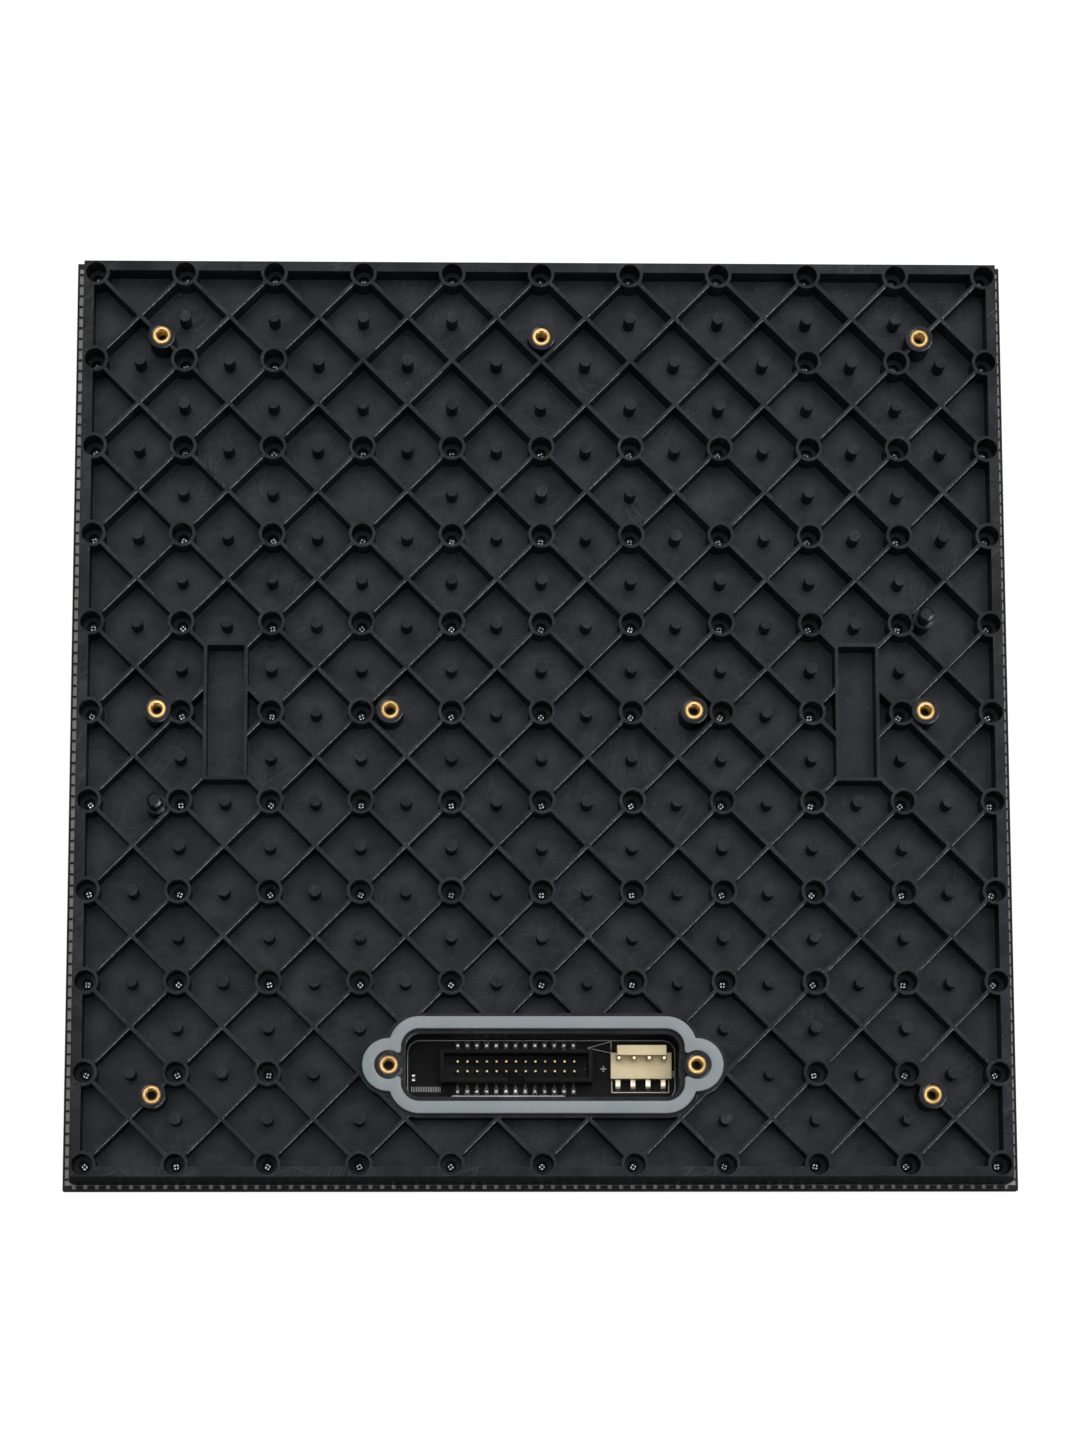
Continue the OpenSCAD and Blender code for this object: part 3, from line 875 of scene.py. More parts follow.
@dataclass(frozen=True)
class MetalFinish(Finish):
    """Plated or turned metal with tool marks and a faint tarnish."""

    name: str
    bright: Colour
    dull: Colour
    roughness: float = 0.25
    mark_scale: float = 900.0
    mark_range: Pair = (0.3, 0.7)
    mark_swing: Pair = (-0.08, 0.1)
    mark_depth: float = 0.01 * MM
    tarnish_matt: float = 0.08
    edge_radius: float = 0.06 * MM

    def make(self) -> bpy.types.Material:
        """Makes the material.

        Returns:
            The material.
        """
        material, graph, shader = self.sheet(self.name)
        marks = self.effect(graph, Effect.TURNED, Scale=self.mark_scale)
        edge = self.effect(graph, Effect.EDGED, Radius=self.edge_radius)
        swing = (self.roughness + part for part in self.mark_swing)
        rough = graph.span(marks["Brushing"], *self.mark_range, *swing)
        graph.wire(
            shader,
            Base_Color=graph.blend(marks["Tarnish"], self.bright, self.dull),
            Metallic=1.0,
            Roughness=graph.plus(rough, graph.times(marks["Tarnish"], self.tarnish_matt)),
            Normal=self.relief(graph, marks["Brushing"], self.mark_depth, Normal=edge["Normal"]),
        )
        return material


@dataclass(frozen=True)
class BoardFinish(Finish):
    """Black solder mask over faint copper tracks, with bare pale laminate along the board's border."""

    name: str
    mask: Colour
    track: Colour
    laminate: Colour
    border: float
    shade: float = 0.8
    rag_scale: float = 900.0
    rag: float = 0.1 * MM
    mottle_scale: float = 160.0
    grain_scale: float = 2600.0
    track_scale: float = 0.4 / (1.27 * MM)
    track_range: Pair = (0.42, 0.5)
    track_share: float = 0.5
    rough: Ramp = (0.2, 0.8, 0.36, 0.52)
    bare_matt: float = 0.3
    specular: float = 0.06
    grain_share: float = 0.2
    depth: float = 0.03 * MM

    def make(self) -> bpy.types.Material:
        """Makes the material.

        Returns:
            The material.
        """
        material, graph, shader = self.sheet(self.name)
        place = graph.place()
        axes = graph.axes(place)
        reach = graph.math("MAXIMUM", graph.math("ABSOLUTE", axes[0]), graph.math("ABSOLUTE", axes[1]))
        ragged = graph.times(graph.noise(place, self.rag_scale), self.rag)
        bare = graph.math("GREATER_THAN", graph.plus(reach, ragged), self.border)
        skin = self.effect(
            graph, Effect.MOULDED, Mottle_scale=self.mottle_scale, Grain_scale=self.grain_scale
        )
        cells = graph.add(
            "ShaderNodeTexVoronoi", {"distance": "MANHATTAN"}, Vector=place, Scale=self.track_scale
        )
        lanes = graph.times(graph.span(cells.outputs["Distance"], *self.track_range), self.track_share)
        shaded = tone(*(self.shade * part for part in self.laminate[:3]))
        fibre = graph.blend(skin["Mottle"], self.laminate, shaded)
        height = graph.plus(lanes, graph.times(skin["Grain"], self.grain_share))
        rough = graph.span(skin["Grain"], *self.rough)
        graph.wire(
            shader,
            Base_Color=graph.blend(bare, graph.blend(lanes, self.mask, self.track), fibre),
            Specular_IOR_Level=self.specular,
            Roughness=graph.plus(rough, graph.times(bare, self.bare_matt)),
            Normal=self.relief(graph, height, self.depth),
        )
        return material


class Finishes:
    """The finishes of this module, in its makers' words."""

    shell: MouldedFinish = DeckFinish(
        "shell_black", tone(0.004, 0.0043, 0.0053), tone(0.0085, 0.009, 0.0106), tone(0.046, 0.048, 0.052),
        roughness=0.42, mottle_scale=130.0, scuffs=0.62, dust=0.03, edge_radius=0.45 * MM, edge_wear_and_highlight=0.14,
        edge_gloss=1.0, specular=0.132, sheen=tone(0.8, 0.88, 1.0), glaze=0.12,
    )
    mask: MouldedFinish = MouldedFinish(
        "mask_black", tone(0.011, 0.011, 0.012), tone(0.017, 0.017, 0.018), grey(0.05),
        roughness=0.6, scuffs=0.2, dust=0.02, edge_radius=0.15 * MM, edge_wear_and_highlight=0.8, specular=0.2,
    )
    gasket: MouldedFinish = MouldedFinish(
        "gasket_grey", tone(0.25, 0.282, 0.293), tone(0.285, 0.315, 0.327), tone(0.42, 0.44, 0.45),
        roughness=0.62, mottle_scale=90.0, grain_scale=2200.0, scuffs=0.12, dust=0.03,
        edge_radius=0.2 * MM, edge_wear_and_highlight=0.2, edge_wear_and_highlight_tone=tone(0.42, 0.44, 0.45), specular=0.2,
    )
    header: MouldedFinish = MouldedFinish(
        "header_black", grey(0.005), grey(0.008), grey(0.03),
        roughness=0.42, mottle_scale=150.0, grain_scale=3000.0, scuffs=0.2, dust=0.05,
        edge_radius=0.1 * MM, edge_wear_and_highlight=0.4, edge_wear_and_highlight_tone=grey(0.02), specular=0.05,
    )
    wafer: MouldedFinish = MouldedFinish(
        "wafer_ivory", tone(0.7, 0.575, 0.335), tone(0.78, 0.66, 0.41), tone(0.9, 0.83, 0.64),
        roughness=0.38, mottle_scale=220.0, grain_scale=2600.0, scuffs=0.1, dust=0.0,
        edge_radius=0.12 * MM, edge_wear_and_highlight=0.5, edge_wear_and_highlight_tone=tone(0.92, 0.86, 0.7), specular=0.3,
    )
    epoxy: MouldedFinish = MouldedFinish(
        "chip_epoxy", tone(0.015, 0.015, 0.016), tone(0.022, 0.022, 0.023), grey(0.05),
        mottle_scale=200.0, grain_scale=4000.0, scuffs=0.1, dust=0.02, edge_radius=0.08 * MM,
    )
    tantalum: MouldedFinish = MouldedFinish(
        "capacitor_resin", tone(0.55, 0.36, 0.07), tone(0.62, 0.43, 0.1), tone(0.7, 0.55, 0.25),
        roughness=0.45, mottle_scale=200.0, grain_scale=4000.0, scuffs=0.1, dust=0.02,
        edge_radius=0.08 * MM,
    )
    ceramic: MouldedFinish = MouldedFinish(
        "capacitor_ceramic", tone(0.36, 0.27, 0.18), tone(0.44, 0.34, 0.24), tone(0.5, 0.42, 0.32),
        mottle_scale=400.0, grain_scale=5000.0, scuffs=0.1, dust=0.0, edge_radius=0.05 * MM,
    )
    glaze: MouldedFinish = MouldedFinish(
        "resistor_glaze", tone(0.018, 0.018, 0.02), tone(0.03, 0.03, 0.032), grey(0.1),
        roughness=0.3, mottle_scale=400.0, grain_scale=5000.0, scuffs=0.1, dust=0.0, edge_radius=0.05 * MM,
    )
    lamp_body: MouldedFinish = MouldedFinish(
        "lamp_body", grey(0.012), grey(0.018), grey(0.04),
        mottle_scale=300.0, grain_scale=4000.0, scuffs=0.0, dust=0.0, edge_radius=0.04 * MM,
    )
    lamp_resin: MouldedFinish = MouldedFinish(
        "lamp_resin", tone(0.19, 0.18, 0.15), tone(0.25, 0.24, 0.2), tone(0.3, 0.3, 0.28),
        roughness=0.22, mottle_scale=300.0, grain_scale=4000.0, grain_depth=0.004 * MM, scuffs=0.0, dust=0.0,
        edge_radius=0.04 * MM,
    )
    ink: MouldedFinish = MouldedFinish(
        "board_ink", tone(0.62, 0.62, 0.6), tone(0.74, 0.74, 0.72), tone(0.8, 0.8, 0.78),
        roughness=0.7, mottle_scale=900.0, grain_scale=4000.0, grain_depth=0.005 * MM, scuffs=0.2, dust=0.0,
        edge_radius=0.02 * MM, edge_wear_and_highlight=0.0,
    )
    brass: MetalFinish = MetalFinish(
        "insert_brass", tone(0.63, 0.44, 0.2), tone(0.4, 0.255, 0.1), roughness=0.36
    )
    gilt: MetalFinish = MetalFinish("pin_gilt", tone(0.4, 0.31, 0.16), tone(0.3, 0.22, 0.1), roughness=0.34)
    tin: MetalFinish = MetalFinish(
        "contact_tin", tone(0.92, 0.84, 0.66), tone(0.75, 0.68, 0.52), roughness=0.42
    )
    solder: MetalFinish = MetalFinish("solder_joints", grey(0.95), grey(0.78), roughness=0.45)
    # dark metal on the feet of the signal pins: a painted shade near the housing
    shaded_foot: MetalFinish = MetalFinish(
        "foot_painted_shade", tone(0.07, 0.07, 0.068), tone(0.04, 0.04, 0.039), roughness=0.4
    )
    # near-black metal in the cross recesses of the screws: a painted shade
    recess: MetalFinish = MetalFinish("screw_recess_shade", grey(0.025), grey(0.015), roughness=0.5)
    zinc: MetalFinish = MetalFinish(
        "screw_zinc", tone(0.45, 0.45, 0.455), tone(0.29, 0.29, 0.293), roughness=0.3
    )


class Wardrobe:
    """Makes each finish once and hands out its material."""

    def __init__(self) -> None:
        """Starts with no material made."""
        self.made: dict[str, bpy.types.Material] = {}

    def get(self, finish: Finish) -> bpy.types.Material:
        """Gives the material of a finish.

        Args:
            finish: finish that is wanted.

        Returns:
            The material.
        """
        if finish.name not in self.made:
            self.made[finish.name] = finish.make()
        return self.made[finish.name]

    def dress(self, piece: Solid, *finishes: Finish) -> None:
        """Puts finishes on a new piece, the first one on its main faces.

        Args:
            piece: piece to dress.
            finishes: finish of each material slot.
        """
        piece.data.materials.clear()
        for finish in finishes:
            piece.data.materials.append(self.get(finish))

    def dress_node(self, node: str, finish: Finish) -> None:
        """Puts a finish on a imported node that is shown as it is.

        Args:
            node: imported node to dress.
            finish: its finish.
        """
        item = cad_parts[node]
        if not item.material_slots:
            item.data.materials.append(None)
        item.material_slots[0].material = self.get(finish)


def hand_over(piece: Solid, slot: str, *nodes: str) -> None:
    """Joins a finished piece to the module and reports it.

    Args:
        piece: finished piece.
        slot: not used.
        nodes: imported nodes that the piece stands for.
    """
    Bench.rest()
    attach(piece, "root")
    if nodes:
        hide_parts(*nodes)
    LOG.info("%s: %d faces", piece.name, len(piece.data.polygons))


class Piece:
    """A new piece of the module, which is built, dressed in its finishes and handed over."""

    slot: str
    wears: tuple[Finish, ...]
    nodes: tuple[str, ...] = ()

    def build(self) -> Solid:
        """Models the piece."""
        raise NotImplementedError

    def marked(self, face: Face) -> bool:
        """Tells whether a face has the second finish."""
        return False

    def dress(self, piece: Solid, wardrobe: Wardrobe) -> None:
        """Puts the finishes on the piece and hands it over.

        Args:
            piece: piece that was built.
            wardrobe: what the finishes come from.
        """
        wardrobe.dress(piece, *self.wears)
        for face in piece.data.polygons:
            face.material_index = int(self.marked(face))
        hand_over(piece, self.slot, *self.nodes)


@dataclass
class LampField(Piece):
    """The lamps on the face of the board, one in each cell of the grid."""

    plan: ModulePlan
    width: float = 1.5 * MM
    depth: float = 1.4 * MM
    rim: float = 0.22 * MM
    cup: float = 0.12 * MM

    slot = "lamp_resin"
    wears = (Finishes.lamp_body, Finishes.lamp_resin)
    nodes = ("led_lamps",)

    @cached_property
    def floor(self) -> float:
        """Level of the resin in the cups."""
        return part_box("led_lamps")[0].z + self.cup

    def build(self) -> Solid:
        """Models one lamp with its cup and repeats it along both ways of the grid.

        Returns:
            The lamps as one piece.
        """
        low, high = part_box("led_lamps")
        pitch = self.plan.led_pitch
        edge = -self.plan.half + pitch / 2
        half = Vector((self.width / 2, self.depth / 2, 0))
        low, high = (Vector((edge, edge, level)) for level in (low.z, high.z))
        lamp = Bench.block("led_lamp_field", low - half, high + half)
        Bench.pick_side(lamp, Axis.DOWN)
        bpy.ops.mesh.inset(thickness=self.rim, depth=0)
        Bench.push(up(self.cup))
        for way in (Vector((pitch, 0, 0)), back(pitch)):
            Bench.change(
                lamp, "ARRAY",
                count=self.plan.led_count, use_relative_offset=False, use_constant_offset=True,
                constant_offset_displace=way,
            )
        return lamp

    def marked(self, face: Face) -> bool:
        """Tells whether a face is resin."""
        return abs(face.center.z - self.floor) < TOUCH


@dataclass
class ScrewSet(Piece):
    """The small cross-recess screws at the bottom of the screw bosses."""

    plan: ModulePlan
    head_r: float = 1.15 * MM
    crown: float = 0.4 * MM
    core_r: float = 0.5 * MM
    point: float = 0.5 * MM
    point_taper: Triple = (0.3, 0.3, 1.0)
    slot_w: float = 0.42 * MM
    slot_l: float = 1.9 * MM
    slot_depth: float = 0.5 * MM
    slot_taper: Triple = (0.45, 0.8, 1.0)
    dark_share: float = 0.75
    dark_drop: float = 0.05 * MM
    dark_depth: float = 1.2
    turn_step: float = 0.37
    sides: int = 12

    slot = "screw_steel"
    # the second finish is the painted shade in the cross recesses
    wears = (Finishes.zinc, Finishes.recess)
    nodes = ("assembly_screws",)

    def build(self) -> Solid:
        """Models one screw and sets it in every boss.

        Returns:
            The screws as one piece.
        """
        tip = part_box("assembly_screws")[0].z - self.plan.seat
        tall = self.plan.head_t
        Bench.rest()
        bpy.ops.mesh.primitive_cylinder_add(
            vertices=self.sides, radius=self.head_r, depth=tall, location=up(tall / 2)
        )
        screw = Bench.settle("assembly_screw_set")
        Bench.pick_side(screw, Axis.UP)
        bpy.ops.mesh.bevel(offset=self.crown, segments=1, affect="EDGES")
        Bench.pick_side(screw, Axis.DOWN)
        bpy.ops.mesh.inset(thickness=self.head_r - self.core_r, depth=0)
        Bench.push(up(tip + self.point))
        Bench.push(up(-self.point), self.point_taper, up(tip))
        Bench.close_up()
        for turn in (math.pi / 4, -math.pi / 4):
            Bench.carve(screw, self.recess(turn))
        places = enumerate(self.plan.screw_places())
        return Bench.set_out(screw, [(place, self.turn_step * k) for k, place in places])

    def recess(self, turn: float) -> Solid:
        """Makes one tapered bar of the cross.

        Args:
            turn: turn of the bar round the screw's axis.

        Returns:
            The bar, ready to be cut out.
        """
        half = Vector((self.slot_l / 2, self.slot_w / 2, self.slot_depth))
        top = up(self.plan.head_t)
        bar = Bench.block("recess", top - half, top + half)
        Bench.pick_side(bar, Axis.DOWN)
        bpy.ops.transform.resize(value=self.slot_taper, center_override=up(top.z - half.z))
        bpy.ops.object.mode_set(mode="OBJECT")
        bar.data.transform(Matrix.Rotation(turn, 4, "Z"))
        return bar

    def marked(self, face: Face) -> bool:
        """Tells whether a face is inside a cross, where the painted shade of the recess goes.

        Args:
            face: face of a screw.

        Returns:
            True inside a cross.
        """
        deep = self.plan.seat + self.plan.head_t - face.center.z
        away = Vector(math.remainder(part, self.plan.boss_pitch) for part in face.center.xy)
        inside = away.length < self.dark_share * self.slot_l / 2
        return inside and self.dark_drop < deep < self.dark_depth * self.slot_depth


@dataclass
class InsertSet(Piece):
    """The brass threaded inserts, turned with a countersunk mouth and a cut thread."""

    plan: ModulePlan
    outer_r: float = 2.5 * MM
    bore_r: float = 1.25 * MM
    crest: float = 0.18 * MM
    thread: float = 0.5 * MM
    mouth: float = 0.42 * MM
    tooth: float = 0.55 * MM
    lip: float = 0.25 * MM
    rim: float = 0.42 * MM
    knurl: float = 0.2 * MM
    knurl_gap: float = 0.04 * MM
    groove: float = 0.35 * MM
    groove_levels: tuple[float, ...] = (0.4, 0.45, 0.55, 0.6)
    foot: float = 0.5 * MM
    pair_span: float = 80.0 * MM
    turn_step: float = 0.5
    smooth: float = 25.0
    sides: int = 60

    slot = "insert_brass"
    wears = (Finishes.brass,)
    nodes = ("threaded_inserts",)

    def places(self) -> list[Vector]:
        """Gives the top of each insert: corners, top middle, middle line and collar.

        Returns:
            The places.
        """
        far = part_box("threaded_inserts")[1].x - self.outer_r
        bay_y = self.plan.bay_y()
        ear = self.pair_span / 2
        spots = [(x * far, y * far) for x in (-1, 1) for y in (-1, 1)]
        spots += [(0, far), (-far, 0), (far, 0), (-ear, 0), (ear, 0), (-ear, bay_y), (ear, bay_y)]
        return [Vector((x, y, self.plan.insert_top)) for x, y in spots]

    def outline(self) -> list[Pair]:
        """Gives the turned outline, from the foot of the bore up through the thread and down outside.

        Returns:
            Radius and level of each ring.
        """
        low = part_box("threaded_inserts")[0].z - self.plan.insert_top
        start = (self.bore_r + self.crest, low)
        rings = [start]
        level = low
        while level + self.thread < -self.mouth:
            rings.append((self.bore_r, level + self.thread / 2))
            level += self.thread
            rings.append((self.bore_r + self.crest, level))
        waist = self.outer_r - self.groove
        rings += [
            (self.bore_r, -self.mouth),
            (self.bore_r + self.mouth, 0),
            (self.outer_r - self.tooth, 0),
            (self.outer_r - self.lip, 0),
            (self.outer_r, -self.lip),
        ]
        radii = (self.outer_r, waist, waist, self.outer_r)
        rings += [(radius, share * low) for radius, share in zip(radii, self.groove_levels)]
        return rings + [(self.outer_r, low + self.foot), (self.outer_r - self.foot, low), start]

    def build(self) -> Solid:
        """Turns one insert and sets it in every insert boss.

        Returns:
            The inserts as one piece.
        """
        insert = Bench.lathe("threaded_insert_set", self.outline(), self.sides)
        step = 2 * math.pi / self.sides
        Bench.pick(
            insert,
            lambda face: Vector(face.center).xy.length > self.outer_r - self.rim
            and int(math.atan2(face.center.y, face.center.x) // step) % 2 == 0,
        )
        bpy.ops.mesh.inset(thickness=self.knurl_gap, use_individual=True)
        bpy.ops.transform.shrink_fatten(value=-self.knurl)
        Bench.smooth(insert, self.smooth)
        return Bench.set_out(insert, [(place, self.turn_step * k) for k, place in enumerate(self.places())])


@dataclass
class SignalPins(Piece):
    """The gilt pins of the signal header, with pointed tips and flat feet that are painted dark as shade."""

    plan: ModulePlan
    columns: int = 13
    pitch: float = 2.54 * MM
    side: float = 0.64 * MM
    point: float = 0.3 * MM
    point_taper: Triple = (0.78, 0.78, 1.0)
    foot_t: float = 0.4 * MM
    foot_taper: Triple = (0.75, 1.0, 0.7)
    foot_margin: float = 1.01

    slot = "pin_gold"
    wears = (Finishes.gilt, Finishes.shaded_foot)
    nodes = ("signal_header_pins",)

    def columns_x(self) -> list[float]:
        """Gives the place of each pair of pins along the header."""
        low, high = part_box("signal_header_pins")
        return [(low.x + high.x) / 2 + x for x in row(self.columns, self.pitch)]

    def build(self) -> Solid:
        """Models one pin with its foot and sets out both rows.

        Returns:
            The pins as one piece.
        """
        low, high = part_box("signal_header_pins")
        tall = high.z - low.z
        row_y = self.pitch / 2
        reach = (high.y - low.y) / 2 - row_y
        half = self.side / 2
        pin = Bench.block(
            "signal_pin_rows",
            Vector((-half, row_y - half, 0)),
            Vector((half, row_y + half, tall - self.point)),
        )
        Bench.pick_side(pin, Axis.UP)
        Bench.push(up(self.point), self.point_taper, Vector((0, row_y, tall)))
        Bench.split(up(self.foot_t), up(1))
        Bench.pick(pin, lambda face: face.normal.y > ALIGNED and face.center.z < self.foot_t)
        Bench.push(back(reach - half - half))
        Bench.push(back(half), self.foot_taper, back(row_y + reach))
        Bench.close_up()
        middle_y = (low.y + high.y) / 2
        return Bench.set_out(
            pin,
            [(Vector((x, middle_y, low.z)), turn) for x in self.columns_x() for turn in (0.0, math.pi)],
        )

    def marked(self, face: Face) -> bool:
        """Tells whether a face belongs to a foot, which takes the painted shade."""
        return face.center.z < self.plan.board_back + self.foot_t * self.foot_margin


@dataclass
class PowerPins(Piece):
    """The tinned pins of the power header, with flat tails that bend down to the board."""

    ways: int = 4
    pitch: float = 3.96 * MM
    side: float = 1.14 * MM
    point: float = 0.35 * MM
    point_taper: Triple = (0.6, 0.6, 1.0)
    tail_w: float = 1.25 * MM
    tail_t: float = 0.6 * MM
    tail_z: float = 0.8 * MM
    tail_steps: tuple[Pair, ...] = ((0.55, 0.0), (0.2, 0.25), (0.25, 0.75))
    tail_taper: Triple = (0.7, 1.0, 0.5)

    slot = "contact_tin"
    wears = (Finishes.tin,)
    nodes = ("power_header_pins",)

    def build(self) -> Solid:
        """Models one pin with its tail and sets out the ways.

        Returns:
            The pins as one piece.
        """
        low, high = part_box("power_header_pins")
        half = self.side / 2
        tall = high.z - low.z
        pin_y = high.y - low.y - half
        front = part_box("power_header_housing")[0].y - low.y
        tail_top = self.tail_z + self.tail_t
        pin = Bench.block(
            "power_pin_row",
            Vector((-half, pin_y - half, self.tail_z)),
            Vector((half, pin_y + half, tall - self.point)),
        )
        Bench.pick_side(pin, Axis.UP)
        Bench.push(up(self.point), self.point_taper, Vector((0, pin_y, tall)))
        Bench.split(up(tail_top), up(1))
        Bench.pick(pin, lambda face: face.normal.y < -ALIGNED and face.center.z < tail_top)
        Bench.push(back(front - pin_y + half), (self.tail_w / self.side, 1.0, 1.0), back(front))
        for out, down in self.tail_steps:
            Bench.push(Vector((0, -out * front, -down * self.tail_z)))
        bpy.ops.transform.resize(value=self.tail_taper, center_override=(0, 0, 0))
        Bench.close_up()
        middle = (low.x + high.x) / 2
        places = [Vector((middle + x, low.y, low.z)) for x in row(self.ways, self.pitch)]
        return Bench.set_out(pin, [(place, 0.0) for place in places])


@dataclass
class SignalHousing(Piece):
    """The black box header, open at its top, with a key slot in its front wall."""

    wall: float = 1.2 * MM
    base: float = 2.2 * MM
    key_w: float = 4.2 * MM
    key_reach: float = 1.5
    soft: float = 0.15 * MM

    slot = "header_plastic"
    wears = (Finishes.header,)
    nodes = ("signal_header_housing",)

    def build(self) -> Solid:
        """Hollows a block from its top, cuts the key slot and rounds the edges.

        Returns:
            The housing.
        """
        low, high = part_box("signal_header_housing")
        housing = Bench.block("signal_housing", low, high)
        Bench.pick_side(housing, Axis.UP)
        bpy.ops.mesh.inset(thickness=self.wall, depth=0)
        Bench.push(up(self.base - (high.z - low.z)))
        middle = (low.x + high.x) / 2
        key = Bench.block(
            "key_slot",
            Vector((middle - self.key_w / 2, low.y - self.wall, low.z + self.base)),
            Vector((middle + self.key_w / 2, low.y + self.key_reach * self.wall, high.z + self.wall)),
        )
        Bench.carve(housing, key)
        Bench.soften(housing, self.soft)
        return housing


class Moulding(Enum):
    """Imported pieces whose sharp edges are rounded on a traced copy."""

    GASKET = "connector_gasket"
    WAFER = "power_header_housing"


@dataclass
class RoundedMoulding(Piece):
    """A moulding of the connector bay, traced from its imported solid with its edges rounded."""

    moulding: Moulding
    radius: float
    slot: str
    wears: tuple[Finish, ...]

    @property
    def nodes(self) -> tuple[str, ...]:
        """Node that the moulding stands for."""
        return (self.moulding.value,)

    def build(self) -> Solid:
        """Traces the solid and rounds its edges.

        Returns:
            The rounded piece.
        """
        piece = Bench.traced(f"{self.moulding.value}_rounded", self.moulding.value)
        Bench.soften(piece, self.radius)
        return piece


@dataclass
class BayResistor(Piece):
    """The chip resistor at the left of the bay, with plated end caps."""

    cap: float = 0.35 * MM
    lift: float = 0.05 * MM
    under: float = -0.5

    slot = "resistor_ceramic"
    wears = (Finishes.glaze, Finishes.solder)
    nodes = ("bay_resistor",)

    @cached_property
    def body(self) -> Pair:
        """Both ends of the glazed body between the caps."""
        low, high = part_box("bay_resistor")
        return (low.y + self.cap, high.y - self.cap)

    def build(self) -> Solid:
        """Models the body and swells its end caps.

        Returns:
            The resistor.
        """
        low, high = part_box("bay_resistor")
        grow = self.lift / 2
        low, high = low + Vector((grow, grow, 0)), high - Vector((grow, grow, grow))
        piece = Bench.block("bay_chip_resistor", low, high)
        bpy.ops.object.mode_set(mode="EDIT")
        for level in self.body:
            Bench.split(back(level), back(1))
        Bench.pick(piece, lambda face: self.marked(face) and face.normal.z > self.under)
        bpy.ops.mesh.extrude_region_shrink_fatten(TRANSFORM_OT_shrink_fatten={"value": grow})
        Bench.close_up()
        return piece

    def marked(self, face: Face) -> bool:
        """Tells whether a face belongs to a cap."""
        return not self.body[0] < face.center.y < self.body[1]


@dataclass
class SolderJoints(Piece):
    """Solder fillets on the feet of the signal header."""

    pins: SignalPins
    foot_w: float = 1.25 * MM
    foot_l: float = 1.8 * MM
    base: float = 0.05 * MM
    tall: float = 0.55 * MM
    steps: tuple[tuple[float, Triple], ...] = ((0.4, (0.8, 0.8, 1.0)), (0.6, (0.55, 0.5, 1.0)))
    overlap: float = 1.7 * MM
    smooth: float = 50.0

    slot = "contact_tin"
    wears = (Finishes.solder,)

    def build(self) -> Solid:
        """Models one fillet and sets it at every foot.

        Returns:
            The fillets as one piece.
        """
        half = Vector((self.foot_w / 2, self.foot_l / 2, 0))
        pad = Bench.block("solder_joint_set", -half, half + up(self.base))
        Bench.pick_side(pad, Axis.UP)
        for share, taper in self.steps:
            Bench.push(up(share * self.tall), taper, up(0))
        Bench.close_up()
        Bench.smooth(pad, self.smooth)
        low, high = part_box("signal_header_pins")
        rows = (low.y + self.overlap / 2, high.y - self.overlap / 2)
        return Bench.set_out(pad, [(Vector((x, y, low.z)), 0.0) for x in self.pins.columns_x() for y in rows])


